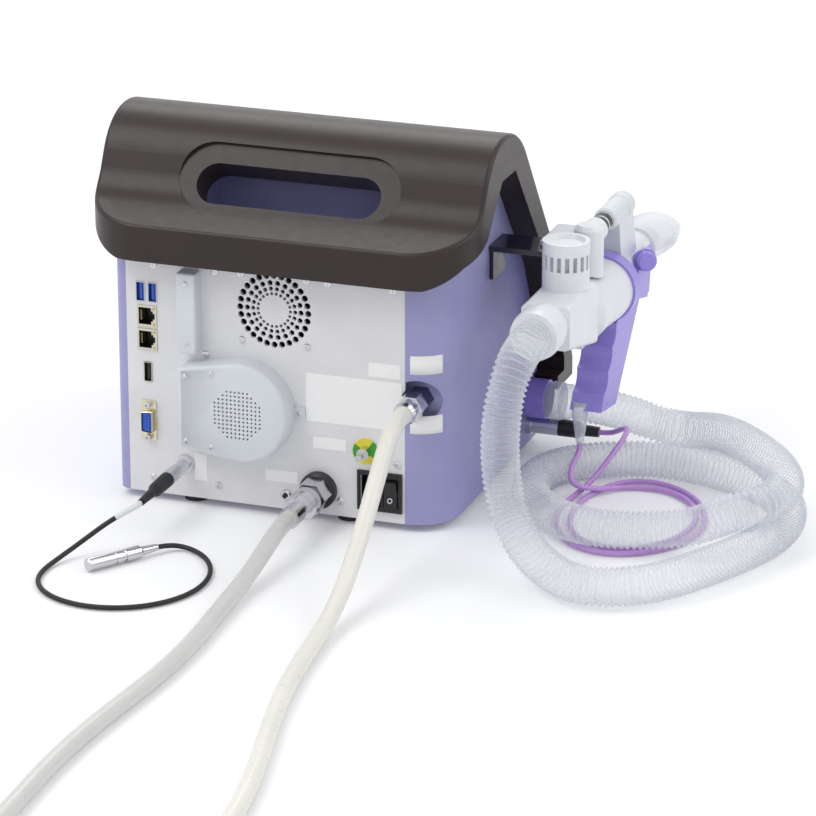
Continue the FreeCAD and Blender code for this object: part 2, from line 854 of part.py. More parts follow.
def socket_shell(name, middles, wide, tall, rim, tongue, proud):
    """Metal sockets in their windows: an open shell with a contact tongue inside."""
    shells = []
    for x, z in middles:
        low = (x - wide / 2, -proud, z - tall / 2)
        high = (x + wide / 2, d.socket_depth, z + tall / 2)
        shell = block(low, high)
        hollow = block((low[0] + rim, -proud - 1, low[2] + rim),
                       (high[0] - rim, d.socket_depth - 4, high[2] - rim))
        opened = without(name + "_shell", shell, hollow)
        pad = block((x - tongue / 2, 1, low[2] + rim * 2), (x + tongue / 2, d.socket_depth - 3,
                                                                       high[2] - rim * 2))
        shells.append(fused(name + "_one", [opened, pad]))
    return shells if len(shells) > 1 else shells[0]


usb_middles = [(d.port_column + side * d.usb_pitch / 2, d.usb_z) for side in SIDES]
usb = socket_shell("usb", usb_middles, d.usb_wide, d.usb_tall, 0.6, 2.2, 0.8)
finish(grouped("usb_sockets_group", usb), "usb_sockets")
network_middles = [(d.port_column, d.net_upper_z - d.net_pitch * row) for row in (0, 1)]
network = socket_shell("network", network_middles, d.net_wide, d.net_tall, 1.4, 1.6, 0.8)
finish(grouped("network_sockets_group", network), "network_sockets")
video_socket = socket_shell("video", [(d.port_column, d.video_z)], d.video_wide, d.video_tall, 0.6, 2.0,
                            0.8)
finish(video_socket, "video_socket")


def screen_socket():
    """The fifteen-pin screen socket: flange, shell and two jack nuts."""
    body = new_body("screen_socket")
    x, z = d.port_column, d.screen_z
    flange = window(x, z, 12.4, d.screen_nut_pitch + 6)
    grow(body, "XZ", -1, 0, [flange])
    grow(body, "XZ", -0.5, d.socket_depth, [window(x, z, 9, 17)])
    shell = [(x - 4, z - 7.2), (x + 4, z - 8.2), (x + 4, z + 8.2), (x - 4, z + 7.2)]
    grow(body, "XZ", -6, -0.5, [shell])
    nuts = [Circle(x, z + side * d.screen_nut_pitch / 2, 2.6) for side in SIDES]
    grow(body, "XZ", -5, -0.5, nuts)
    return body


finish(screen_socket(), "screen_socket")


def duct_cover():
    body = new_body("duct_cover")
    outline = rectangle(d.duct_x - d.duct_wide / 2, d.duct_low, d.duct_x + d.duct_wide / 2, d.duct_high)
    grow(body, "XZ", -d.duct_deep, 0, [outline])
    soften(body, 2, lambda p, t: p.y < 0.5 - number(d.duct_deep) or (
        abs(t.y) > 0.9 and p.y < -1))
    inner = rectangle(d.duct_x - d.duct_wide / 2 + 2, d.duct_low + 2, d.duct_x + d.duct_wide / 2 - 2,
                      d.duct_high - 2)
    carve(body, "XZ", -d.duct_deep + 2, 0.5, [inner])
    return body


finish(duct_cover(), "duct_cover")


def grille_outline(inset):
    """The grille cover's outline: a straight left side and a large round right side."""
    x, z = d.grille_x, d.grille_z
    radius = d.grille_radius - inset
    left = d.grille_left + inset
    return [(left, z - radius * 0.8), (x, z - radius), Round(x, z), (x, z + radius), (left, z + radius * 0.8)]


def grille_cover():
    body = new_body("grille_cover")
    grow(body, "XZ", -d.grille_deep, 0, [grille_outline(0)])
    front = 0.5 - number(d.grille_deep)
    soften(body, 3, lambda p, t: p.y < front or (abs(t.y) > 0.9 and p.x < number(d.grille_left) + 1))
    carve(body, "XZ", -d.grille_deep + d.grille_wall, 0.5, [grille_outline(d.grille_wall)])
    lug = rectangle(d.grille_x + d.grille_radius - 2, d.grille_z - 4, d.grille_x + d.grille_radius + 8,
                    d.grille_z + 5)
    grow(body, "XZ", -2, 0, [lug])
    return body


finish(grille_cover(), "grille_cover")

cover_corners = [(d.grille_x - 20, d.grille_z + 28), (d.grille_x - 20, d.grille_z - 28),
                 (d.grille_left + 6, d.grille_z + 24), (d.grille_left + 6, d.grille_z - 25)]
cover_heads = [cylinder(2, 1, (x, -d.grille_deep, z)) for x, z in cover_corners]
cover_heads += [cylinder(2, 1, (d.duct_x, -d.duct_deep, z)) for z in (d.duct_low + 8, d.duct_high - 8)]
cover_heads.append(cylinder(2, 1, (d.grille_x + d.grille_radius + 4, -2, d.grille_z)))
finish(grouped("screw_heads", heads + cover_heads), "panel_screws")


def mains_inlet():
    """The mains inlet: a flanged body with the plug recess, its three pins and the switch opening."""
    body = new_body("mains_inlet")
    x, z = d.inlet_x, d.inlet_z
    grow(body, "XZ", -d.inlet_flange, 0, [window(x, z, d.inlet_wide, d.inlet_tall)])
    grow(body, "XZ", -0.5, d.inlet_deep, [window(x, z, d.inlet_wide - 4, d.inlet_tall - 4)])
    plug = window(x - 7, z, d.plug_wide, d.plug_tall)
    carve(body, "XZ", -d.inlet_flange - 1, d.plug_deep, [plug])
    opening = window(x + 8.5, z, d.rocker_wide + d.rocker_gap * 2, (d.rocker_radius + d.rocker_gap) * 2)
    carve(body, "XZ", -d.inlet_flange - 1, d.plug_deep, [opening])
    pins = [window(x - 7 + dx, z + dz, 2, 4) for dx, dz in ((-2, 5), (-2, -5), (3, 0))]
    grow(body, "XZ", 4, d.plug_deep + 1, pins)
    return body


finish(mains_inlet(), "mains_inlet")


def power_rocker():
    """The rocker key: two shallow facets in front and a round back about its pivot, tipped to off."""
    body = new_body("power_rocker")
    swing = d.rocker_swing
    radius = d.rocker_radius
    rise = radius * cosine(swing)
    tip = radius * sine(swing)
    half = d.rocker_wide / 2
    profile = [(-tip * 2 - 2, -rise), (-2, 0), (-tip * 2 - 2, rise),
               (4, rise), (7, 0), (4, -rise)]
    grow(body, "YZ", -half, half, [profile])
    tube(body, "X", (0, 0), -half - d.rocker_gap * 0.6, half + d.rocker_gap * 0.6, 1.5)
    return body


rocker_pivot = (d.inlet_x + 8.5, 0, d.inlet_z)
finish(power_rocker(), "power_rocker", rocker_pivot, (Vector(1, 0, 0), d.rocker_swing))


def earth_parts():
    pin = new_body("earth_pin")
    lathe(pin, "Y", (d.earth_x, d.earth_z), [
        (-16, 0), (-16, d.earth_radius - 0.6), (-8, d.earth_radius - 0.6),
        (-8, d.earth_radius + 1.5), (-1.5, d.earth_radius + 1.5),
        (-1.5, d.earth_radius), (10, d.earth_radius), (10, 0)])
    washer = new_body("earth_washer")
    tube(washer, "Y", (d.earth_x, d.earth_z), -1.5, 0, d.earth_washer,
         d.earth_radius + 0.1)
    return pin, washer


earth_pin, earth_washer = earth_parts()
finish(earth_pin, "earth_pin")
finish(earth_washer, "earth_washer")


# Gas connections


def hexagon(x, z, radius):
    return [(x + radius * cosine(60 * step), z + radius * sine(60 * step)) for step in range(6)]


def gas_parts():
    centre = (d.gas_x, d.gas_z)
    port = new_body("test_gas_port")
    lathe(port, "Y", centre, [(-7, 7), (14, 7), (14, d.gas_stem),
                              (0, d.gas_stem), (0, d.gas_ring),
                              (-5, d.gas_ring), (-7, d.gas_ring - 2)])
    coupler = new_body("test_gas_coupler")
    nut_end, end = -d.gas_nut_end, -d.gas_coupler_end
    neck = d.gas_neck
    lathe(coupler, "Y", centre, [
        (8, 0), (8, 6.8), (-7.3, 6.8), (-7.3, 10), (nut_end, 10), (nut_end, neck), (end + 24, neck),
        (end + 24, neck - 1), (end + 14, neck - 1), (end + 14, neck + 0.3), (end, neck + 0.3), (end, 0)])
    grow(coupler, "XZ", nut_end, -7.3, [hexagon(d.gas_x, d.gas_z, d.gas_nut)])
    sleeve = new_body("coupler_sleeve")
    tube(sleeve, "Y", centre, nut_end - d.gas_slide - 8.3, nut_end - d.gas_slide - 0.3, d.gas_sleeve,
         neck + 0.06)
    return port, coupler, sleeve


gas_port, gas_coupler, gas_sleeve = gas_parts()
finish(gas_port, "test_gas_port")
finish(gas_coupler, "test_gas_coupler")
finish(gas_sleeve, "coupler_sleeve")


def oxygen_parts():
    x, z = d.oxygen_x, d.oxygen_z
    port = new_body("oxygen_port")
    grow(port, "XZ", -2, d.oxygen_depth, [hexagon(x, z, d.oxygen_hex)])
    nut = new_body("oxygen_nut")
    grow(nut, "XZ", -14, -2, [hexagon(x, z, d.oxygen_hex + 1)])
    lathe(nut, "Y", (x, z), [(-13, 0), (-13, 8.5), (-d.oxygen_nut_end + 3, 8.5),
                             (-d.oxygen_nut_end, d.hose_radius + 0.8), (-d.oxygen_nut_end, 0)])
    return port, nut


oxygen_port, oxygen_nut = oxygen_parts()
finish(oxygen_port, "oxygen_port")
finish(oxygen_nut, "oxygen_nut")


# Probe cable


def probe_parts():
    centre = (d.probe_x, d.probe_z)
    socket = new_body("probe_socket")
    lathe(socket, "Y", centre, [(-3, 3.2), (10, 3.2), (10, d.probe_radius),
                                (0, d.probe_radius), (0, 7), (-3, 6.5)])
    plug = new_body("probe_plug")
    end = d.probe_plug_end
    lathe(plug, "Y", centre, [(6, 0), (6, 3.1), (-3, 3.1), (-3, 5),
                              (-20, 5), (-21, 5.6), (-end + 8, 5.6), (-end, 5), (-end, 0)])
    return socket, plug


PROBE_REST = (-70.8, -121.3, 5.2)
PROBE_SWING = -35
probe_socket, probe_plug = probe_parts()
finish(probe_socket, "probe_socket")
finish(probe_plug, "probe_plug")


def probe_boot():
    """The tapered strain relief behind the plug."""
    body = new_body("probe_boot")
    start, end = -d.probe_plug_end, -d.probe_plug_end - d.boot_length
    lathe(body, "Y", (d.probe_x, d.probe_z), [
        (start, 0), (start, 5.6), (start - 22, 5.2), (start - 28, 3.4), (end, 2.6), (end, 0)])
    return body


finish(probe_boot(), "probe_plug_boot")


def probe_barrel():
    """The probe that lies on the table: strain relief, ring and metal barrel, pointing along its own -Y."""
    body = new_body("probe_barrel")
    lathe(body, "Y", (0, 0), [
        (27, 0), (27, 2.4), (14, 3.4), (12, 4.8), (0, 5), (0, 3.9), (-3, 3.9), (-3, 4.7), (-8, 4.7),
        (-8, 4.2),
        (-10, 4.2), (-10, 4.8), (-30, 4.8), (-31, 4), (-31, 0)])
    return body


finish(probe_barrel(), "probe_barrel", PROBE_REST, (Vector(0, 0, 1), Size(PROBE_SWING, str(PROBE_SWING))))


# Holder arm and handset


def holder_arm():
    """The plate that reaches out of the right side, with the foot that is screwed to the casing."""
    body = new_body("holder_arm")
    top = d.arm_z + d.arm_thick
    grow(body, "XY", d.arm_z, top, [rectangle(d.case_half, d.arm_back, d.arm_reach, d.arm_front)])
    grow(body, "YZ", d.case_half, d.case_half + 3, [rectangle(d.arm_back + 2, d.arm_z - 22,
                                                              d.arm_front - 2, top)])
    return body


finish(holder_arm(), "holder_arm")


def holder_cradle():
    """The open ring that the handset's housing rests in, with the block that grips the arm's end."""
    body = new_body("holder_cradle")
    inner = d.housing_radius - 2 + 0.3
    outer = inner + 4.5
    x, z = d.handset_x, d.flow_z
    low, high = d.arm_back + 8, d.arm_front - 10.5
    top = d.arm_z + d.arm_thick
    grow(body, "XZ", low, high, [Circle(x, z, outer)])
    web = [(x - 27, z + 9), (x - 16, z + 20), (x - 13, d.arm_z), (x - 27, d.arm_z)]
    grow(body, "XZ", low, d.arm_front + 8, [web])
    carve(body, "XZ", low - 1, d.arm_front + 9, [Circle(x, z, inner + 2)])
    carve(body, "XZ", low - 1, high + 1, [rectangle(x + 4, z - 40, x + 60, z + 40)])
    right = d.arm_reach
    grow(body, "XY", d.arm_z - 1, top + 1, [rectangle(x - 27, d.arm_front, right - 0.5, d.arm_front + 8)])
    grow(body, "XY", top, top + 22, [rectangle(right - 18, d.arm_back + 14, right, d.arm_front + 26)])
    soften(body, 2, lambda p, t: p.z > number(top) + 21)
    return body


finish(holder_cradle(), "holder_cradle")


def valve_body():
    """The boxy valve housing between the hose collar and the flow housing."""
    body = new_body("valve_body")
    x = d.handset_x
    grow(body, "YZ", x - 18, x + 18, [[(24, d.collar_z - 18), (d.housing_start, d.flow_z - 18),
                                       (d.housing_start, d.drum_low - 2), (88, d.drum_low),
                                       (50, d.drum_low), (24, d.drum_low)]])
    soften(body, 4, lambda p, t: abs(t.y) > 0.7 and abs(abs(p.x - number(x)) - 18) < 0.5)
    return body


finish(valve_body(), "valve_body")


def valve_drum():
    """The slotted valve cap: a drum with upright slots all round and a ribbed top."""
    body = new_body("valve_drum")
    centre = (d.handset_x, d.valve_y)
    wall = 2
    lathe(body, "Z", centre, [(d.drum_low, 0), (d.drum_low, d.drum_radius), (d.drum_high, d.drum_radius),
                              (d.drum_high, d.drum_radius - 3), (d.drum_high - 3, d.drum_radius - 5),
                              (d.drum_high - 3, 0)])
    doc.recompute()
    slot_low = d.drum_low + 15
    slot = rectangle(d.handset_x - 1.6, slot_low, d.handset_x + 1.6, slot_low + 11)
    sketch = draw(body, "XZ", d.valve_y - d.drum_radius - 1, [slot])
    cut = body.newObject("PartDesign::Pocket", "drum_slot")
    cut.Profile = sketch
    cut.Length = wall + 4
    cut.Reversed = False
    doc.recompute()
    pattern = body.newObject("PartDesign::PolarPattern", "drum_slots")
    pattern.Originals = [cut]
    axis = body.newObject("Sketcher::SketchObject", "drum_axis")
    plane = [item for item in body.Origin.OriginFeatures if item.Role == "XZ_Plane"][0]
    axis.AttachmentSupport = (plane, "")
    axis.MapMode = "FlatFace"
    axis.AttachmentOffset = Placement(Vector(0, 0, -number(d.valve_y)), Rotation())
    bind(axis, "AttachmentOffset.Base.z", -d.valve_y)
    line = axis.addGeometry(Part.LineSegment(flat(d.handset_x, 0), flat(d.handset_x, 10)), True)
    hold_point(axis, line, 1, d.handset_x, 0)
    hold_point(axis, line, 2, d.handset_x, 10)
    pattern.Axis = (axis, ["Axis0"])
    pattern.Angle = 360
    pattern.Occurrences = 18
    body.Tip = pattern
    return body


finish(valve_drum(), "valve_drum")

hose_collar = new_body("hose_collar")
lathe(hose_collar, "Y", (d.handset_x, d.collar_z), [
    (-4, 0), (-4, d.collar_radius - 1), (2, d.collar_radius),
    (14, d.collar_radius), (14, d.collar_radius - 2), (24, d.collar_radius - 2),
    (24, 0)])
finish(hose_collar, "hose_collar")


def flow_housing():
    """The round measuring housing, with the tube that goes on to the mouthpiece."""
    body = new_body("flow_housing")
    start, end = d.housing_start, d.housing_end
    narrow = d.housing_radius - 2
    lathe(body, "Y", (d.handset_x, d.flow_z), [
        (start, 0), (start, narrow - 4), (start + 7, narrow), (start + 30, narrow),
        (end - 10, d.housing_radius), (end, d.housing_radius), (end, 0)])
    grow(body, "XZ", end - 5, d.tube_end, [Circle(d.handset_x, d.tube_z, d.tube_radius)])
    carve(body, "XZ", end + 20, d.tube_end + 1, [Circle(d.handset_x, d.tube_z, d.tube_radius - 2.5)])
    return body


finish(flow_housing(), "flow_housing")


def ring(name, low, high, radius):
    """A flat ring behind the housing, with the tube passing through it."""
    body = new_body(name)
    grow(body, "XZ", low, high, [Circle(d.handset_x, d.flow_z, radius)])
    carve(body, "XZ", low - 1, high + 1, [Circle(d.handset_x, d.tube_z, d.tube_radius + 0.1)])
    finish(body, name)


ring("lock_ring", d.housing_end, d.housing_end + 13, d.housing_radius + 2)


def grip_outline():
    """The grip upright, from the side: four finger grooves on the rear face, a sloping foot and top."""
    pitch = d.finger_pitch
    centre = -(pitch * pitch / 4 - d.finger_depth * d.finger_depth) / (d.finger_depth * 2)
    start = 14
    points = [(0, 0), (d.grip_low_deep, d.grip_low_rise), (d.grip_top_deep, d.grip_top_rise),
              (0, d.grip_top_front), (0, start + pitch * 4)]
    for groove in (3, 2, 1, 0):
        low = start + pitch * groove
        points.append(Round(centre, low + pitch / 2, False))
        points.append((0, low))
    return points


def knob_place(along):
    """A point on the knob's axis, measured from the end of its boss."""
    return (d.knob_x + along * sine(d.knob_turn), d.knob_y - along * cosine(d.knob_turn), d.knob_z)


def aimed_rod(radius, start, end):
    """A rod along the knob's axis between two distances from the end of its boss."""
    rod = doc.addObject("Part::Cylinder", "aimed_rod")
    for prop, value in (("Radius", radius), ("Height", end - start)):
        setattr(rod, prop, number(value))
        bind(rod, prop, value)
    place = knob_place(start)
    swing = Rotation(Vector(0, 0, 1), number(d.knob_turn))
    rod.Placement = Placement(Vector(*[number(value) for value in place]),
                              swing * Rotation(Vector(1, 0, 0), 90))
    for letter, value in zip("xyz", place):
        bind(rod, f"Placement.Base.{letter}", value)
    return rod


def handset_grip():
    """The pistol grip with the saddle and cheek that hold the tube, and the boss of the clamp screw."""
    grip = new_body("grip_stem")
    half = d.grip_wide / 2
    grow(grip, "YZ", -half, half, [grip_outline()])
    soften(grip, 4, lambda p, t: abs(abs(p.x) - number(half)) < 0.01 and abs(t.z) > 0.8
           and p.y > number(d.grip_low_deep) - 4)
    place = (d.handset_x, d.grip_y, d.grip_z)
    grip.Placement = Placement(Vector(*[number(value) for value in place]),
                               Rotation(Vector(1, 0, 0), -number(d.grip_tilt)))
    for letter, value in zip("xyz", place):
        bind(grip, f"Placement.Base.{letter}", value)
    saddle = new_body("grip_saddle")
    wide = d.tube_radius + 3
    x, z = d.handset_x, d.tube_z
    base = [(d.grip_y + 50, z - 18), (d.grip_y + 100, z - 30), (d.grip_y + 104, z), (d.grip_y + 52, z)]
    grow(saddle, "YZ", x - wide, x + wide, [base])
    cheek = [(d.grip_y + 58, z - 16), (d.grip_y + 100, z - 26), (d.grip_y + 106, z + 4),
             (d.grip_y + 104, z + 21), (d.grip_y + 92, z + 21), (d.grip_y + 76, z + 4)]
    grow(saddle, "YZ", x + d.tube_radius + 0.4, x + wide + 1, [cheek])
    boss = aimed_rod(d.knob_radius + 1, -20, 0)
    relief_x, relief_y = x - 5.4, d.grip_y + 5
    cutters = [cylinder(d.housing_radius + 2.4, 60, (x, d.housing_end + 13.3, d.flow_z)),
               cylinder(d.tube_radius + 0.1, 200, (x, 300, z)),
               cylinder(6.1, 40, (relief_x, relief_y, d.grip_z - 35), "Z"),
               aimed_rod(3.05, -6.5, 1),
               aimed_rod(d.knob_radius + 0.5, 0, 12),
               cylinder(23.9, 34, (x, d.housing_start + 143, d.sample_z - 18))]
    whole = without("grip_cut", fused("grip_whole", [grip, saddle, boss]), fused("grip_cutters", cutters))
    return whole, (relief_x, relief_y)


grip_solid, relief_at = handset_grip()
finish(grip_solid, "handset_grip")

clamp_knob = new_body("clamp_knob")
lathe(clamp_knob, "Y", (0, 0), [
    (6, 0), (6, 3), (-0.3, 3), (-0.3, d.knob_radius), (-5, d.knob_radius), (-6, d.knob_radius - 1), (-6, 0)])
finish(clamp_knob, "clamp_knob", (d.knob_x, d.knob_y, d.knob_z), (Vector(0, 0, 1), d.knob_turn))


def sampling_parts():
    """The elbow on the housing, the windowed adapter and the round sensor body behind it."""
    x, high = d.handset_x, d.sample_z
    upright = d.housing_start + 34
    elbow = new_body("sampling_elbow")
    lathe(elbow, "Z", (x, upright), [
        (d.flow_z + 18, 0), (d.flow_z + 18, 11), (high + 6, 11), (high + 9, 8), (high + 9, 0)])
    grow(elbow, "XZ", upright, upright + 18, [Circle(x, high, 9)])
    carve(elbow, "XZ", upright - 20, upright + 20, [Circle(x, d.flow_z, d.housing_radius + 0.1)])
    adapter = new_body("airway_adapter")
    tube(adapter, "Y", (x, high), upright + 18, upright + 76, 7)
    sensor = new_body("sensor_body")
    middle = high - 18
    grow(sensor, "XZ", upright + 76, upright + 108, [Circle(x, middle, 23.5)])
    carve(sensor, "XZ", upright + 75, upright + 109, [Circle(x, d.tube_z, d.tube_radius + 0.1)])
    return elbow, adapter, sensor


for piece, label in zip(sampling_parts(), ("sampling_elbow", "airway_adapter", "sensor_body")):
    finish(piece, label)


def ellipse(wide, high, y):
    section = doc.addObject("Part::Ellipse", "section")
    major, minor = (wide, high)
    section.MajorRadius = number(major)
    section.MinorRadius = number(minor)
    bind(section, "MajorRadius", major)
    bind(section, "MinorRadius", minor)
    section.Placement = Placement(Vector(number(d.handset_x), number(y), number(d.tube_z)),
                                  Rotation(Vector(1, 0, 0), 90))
    bind(section, "Placement.Base.x", d.handset_x)
    bind(section, "Placement.Base.y", y)
    bind(section, "Placement.Base.z", d.tube_z)
    return section


def mouthpiece():
    """An oval mouthpiece that pushes onto the tube."""
    start, end = d.mouth_start, d.mouth_end
    stations = [(d.tube_radius + 2.6, d.tube_radius + 2.5, start),
                (d.tube_radius + 3.1, d.tube_radius + 3, start + 24),
                (d.mouth_wide, d.mouth_high, start + 56), (d.mouth_wide - 3, d.mouth_high - 3, end)]
    outer = doc.addObject("Part::Loft", "mouthpiece_outer")
    outer.Sections = [ellipse(*station) for station in stations]
    outer.Solid = True
    inner = doc.addObject("Part::Loft", "mouthpiece_inner")
    bore = d.tube_radius + d.mouth_fit
    inner.Sections = [ellipse(bore + 0.01, bore, start - 1), ellipse(bore + 0.01, bore, start + 24),
                      ellipse(d.mouth_wide - 2.5, d.mouth_high - 2.5, start + 56),
                      ellipse(d.mouth_wide - 5.5, d.mouth_high - 5.5, end + 1)]
    inner.Solid = True
    inner.Ruled = True
    outer.Ruled = True
    return without("mouthpiece_cut", outer, inner)


finish(mouthpiece(), "mouthpiece")


# Side connections


def side_parts():
    centre = (d.port_y, d.port_z)
    side = d.case_half
    port = new_body("side_port")
    lathe(port, "X", centre, [(side, 0), (side, d.port_radius - 1), (side + 3, d.port_radius),
                              (side + d.port_out, d.port_radius), (side + d.port_out, 0)])
    connector = new_body("port_connector")
    start = side + d.port_out
    lathe(connector, "X", centre, [(start, 0), (start, d.port_radius - 2), (start + 4, d.port_radius - 2),
                                   (start + 4, d.port_radius - 0.5),
                                   (side + d.connector_out, d.port_radius - 0.5),
                                   (side + d.connector_out, 0)])
    plug = new_body("handset_plug")
    low = (d.plug_y, d.plug_z)
    lathe(plug, "X", low, [(side, 0), (side, d.plug_radius + 1), (side + 4, d.plug_radius + 1),
                           (side + 4, d.plug_radius), (side + 25, d.plug_radius), (side + 25, 0)])
    sleeve = new_body("handset_plug_boot")
    lathe(sleeve, "X", low, [(side + 25, 0), (side + 25, d.plug_radius), (side + 40, d.plug_radius),
                             (side + 43, 4.5), (side + 56, 4), (side + 56, 0)])
    return port, connector, plug, sleeve


for piece, label in zip(side_parts(), ("side_port", "port_connector", "handset_plug", "handset_plug_boot")):
    finish(piece, label)

relief = new_body("grip_strain_relief")
relief_top = d.grip_z + 5
lathe(relief, "Z", relief_at, [
    (relief_top, 0), (relief_top, 6), (relief_top - 9, 6), (relief_top - 32, 2.8), (relief_top - 32, 0)])
finish(relief, "grip_strain_relief")


# Inner modules on the tray


def inner_block(name, low, high):
    body = new_body(name)
    grow(body, "XY", low[2], high[2], [rectangle(low[0], low[1], high[0], high[1])])
    finish(body, name)


tray_top = d.case_bottom + d.tray_thick
inner_block("power_supply", (20, 40, tray_top), (110, 150, tray_top + 40))
inner_block("main_board", (-112, 30, tray_top), (-100, 168, tray_top + 128))
inner_block("gas_analyser", (-80, 60, tray_top), (10, 180, tray_top + 70))


# Cords: straight runs joined by arcs

BREATHING_ROUTE = (
    (155.5, 187, 43), (173, 187, 43), (199, 205.5, 33.5), (222, 217, 22), (248, 212, 22), (272, 189, 33),
    (296, 159, 42), (319, 132, 45), (340, 107, 45.5), (356, 80, 45), (361, 52, 44.5), (352, 28, 43),
    (333, 21, 38), (315, 26, 27), (297, 25, 19.6), (275, 16, 18.6), (251, 8, 18.7), (226, 8, 18.6),
    (202, 20, 18.2), (182, 42, 16), (167, 70, 14.5), (162, 98, 14.2), (170.8, 127, 14.3), (194, 148, 14.2),
    (222, 162, 14.3), (252, 166, 14.2), (282, 159, 14.3), (310, 146, 14.2), (334, 129, 14.3),
    (352, 105, 14.2),
    (359, 75, 14.3), (357, 44, 14.2), (346, 11, 14.3), (329, -24, 14.2), (307, -62, 14.3), (280, -84, 14.2),
    (250, -89, 14.6), (224, -75, 18.5), (204, -61, 29), (191, -53, 47), (185.5, -51, 70), (184, -52, 95),
    (185.5, -52, 119), (188, -47, 139), (190.5, -37, 153), (192.5, -20, 160), (192.5, -4, 160))
HANDSET_CABLE_ROUTE = (
    (183.5, 190, 20.5), (190, 190, 20.5), (197, 186.5, 23.5), (204, 181, 28.5), (210, 175, 32.5),
    (213, 163, 33.2),
    (213, 151, 30.5), (209, 138, 23.5), (203, 127, 13.5), (197, 116, 6.2), (192, 102, 2.9), (189, 84, 2.2),
    (190, 64, 2.3), (197, 40, 2.2), (211, 17, 2.3), (229, 5, 2.2), (249, 3, 2.3), (268, 11, 2.2),
    (284, 27, 2.3),
    (295, 48, 2.2), (298, 72, 2.3), (293, 98, 2.2), (281, 122, 2.3), (263, 140, 2.2), (243, 149, 2.3),
    (224, 147, 2.2), (211, 134, 2.3), (203, 115, 2.2), (199, 92, 2.3), (200, 66, 2.2), (207, 41, 2.3),
    (219, 23, 2.2), (235, 14, 2.3), (252, 14, 2.2), (268, 22, 2.3), (281, 38, 2.2), (289, 60, 2.3),
    (290, 82, 2.2), (283, 106, 2.3), (270, 125, 2.2), (252, 136, 2.3), (234, 136, 2.2), (219, 130, 2.4),
    (211, 120, 4), (204, 110, 7), (197, 104, 9), (190, 103, 11.5), (186.5, 107.5, 15.5), (185.3, 115, 20),
    (186.4, 124.5, 24.5), (187.1, 129, 28.5), (187.1, 129, 34))
PROBE_CABLE_ROUTE = (
    (-73.3, -84, 31.4), (-73.3, -90, 31.4), (-80.5, -98, 28), (-92, -108, 20.5), (-102, -117, 12.5),
    (-110.5, -128, 6), (-116, -142, 2.4), (-117.5, -159, 1.9), (-113.5, -177, 2), (-103, -192, 1.9),
    (-87, -203, 2), (-67, -208, 1.9), (-46, -206, 2), (-26, -196, 1.9), (-11, -180, 2), (-2.5, -160, 1.9),
    (-1, -138, 2), (-6.5, -117, 1.9), (-17.5, -99, 2), (-32, -88, 2.2), (-44, -87, 3.4), (-51.5, -93.8, 4.9),
    (-55.3, -99.2, 5.2))
TEST_GAS_ROUTE = (
    (30.6, -62, 24.3), (30.6, -80, 24.3), (30.2, -102, 19), (29.5, -128, 12), (29.2, -158, 7.5),
    (30.5, -192, 6.3), (33, -228, 6.4), (34.5, -266, 6.3), (33.5, -306, 6.4), (30, -346, 6.3),
    (26, -386, 6.4),
    (23.5, -426, 6.3), (23.3, -466, 6.4), (25, -506, 6.3), (27, -546, 6.4), (27.5, -586, 6.3),
    (26.5, -617, 6.4))
OXYGEN_ROUTE = (
    (104, -26, 99), (104, -41, 99), (104.6, -61, 90.5), (105.6, -84, 74), (106.4, -106, 56),
    (107, -130, 37.5),
    (107.8, -157, 21), (109, -188, 10), (111, -222, 6.5), (114.5, -260, 6.3), (120, -300, 6.4),
    (128, -342, 6.3), (138, -384, 6.4), (148, -426, 6.3), (156, -468, 6.4), (161, -510, 6.3),
    (163, -552, 6.4),
    (163, -590, 6.3), (161.5, -620, 6.4))


def cord_path(route):
    """Straight runs joined by tangent arcs, each as large as its two runs allow."""
    points = [Vector(*point) for point in route]
    edges = []
    radii = []
    start = points[0]
    for before, corner, after in zip(points, points[1:], points[2:]):
        incoming = (corner - before).normalize()
        outgoing = (after - corner).normalize()
        turn = incoming.getAngle(outgoing)
        reach = 0.45 * min((corner - before).Length, (after - corner).Length)
        radius = reach / math.tan(turn / 2)
        radii.append(radius)
        first = corner - incoming * reach
        last = corner + outgoing * reach
        inward = (outgoing - incoming).normalize()
        middle = corner + inward * (radius / math.cos(turn / 2) - radius)
        edges.append(Part.LineSegment(start, first).toShape())
        edges.append(Part.Arc(first, middle, last).toShape())
        start = last
    edges.append(Part.LineSegment(start, points[-1]).toShape())
    return Part.Wire(edges), radii


def cord(label, route, radius):
    wire, radii = cord_path(route)
    start = Vector(*route[0])
    direction = (Vector(*route[1]) - start).normalize()
    section = Part.Wire([Part.Circle(start, direction, radius).toShape()])
    shape = wire.makePipeShell([section], True, False)
    expected = math.pi * radius * radius * wire.Length
    print(f"{label}: length {wire.Length:.0f}, volume ratio {shape.Volume / expected:.4f}, "
          f"least radius {min(radii):.1f}, lowest {min(p[2] for p in route) - radius:.2f}")
    piece = doc.addObject("Part::Feature", label)
    piece.Shape = shape
    finish(piece, label)
    return wire.Length


COIL_RADIUS = 66
COIL_BAND = 13
COIL_HEIGHT = 25


def coil(label, route, side):
    """The outer shape of a neat coil on the table, which the hose runs into along its own direction."""
    end, before = Vector(*route[-1]), Vector(*route[-2])
    ahead = (end - before).normalize()
    centre = end + Vector(-ahead.y, ahead.x, 0) * side * (COIL_RADIUS + number(d.hose_radius))
    body = new_body(label)
    lathe(body, "Z", (0, 0), [
        (0.1, COIL_RADIUS - COIL_BAND), (0.1, COIL_RADIUS + COIL_BAND),
        (COIL_HEIGHT, COIL_RADIUS + COIL_BAND),
        (COIL_HEIGHT, COIL_RADIUS - COIL_BAND)])
    finish(body, label, (centre.x, centre.y, 0))
    return centre


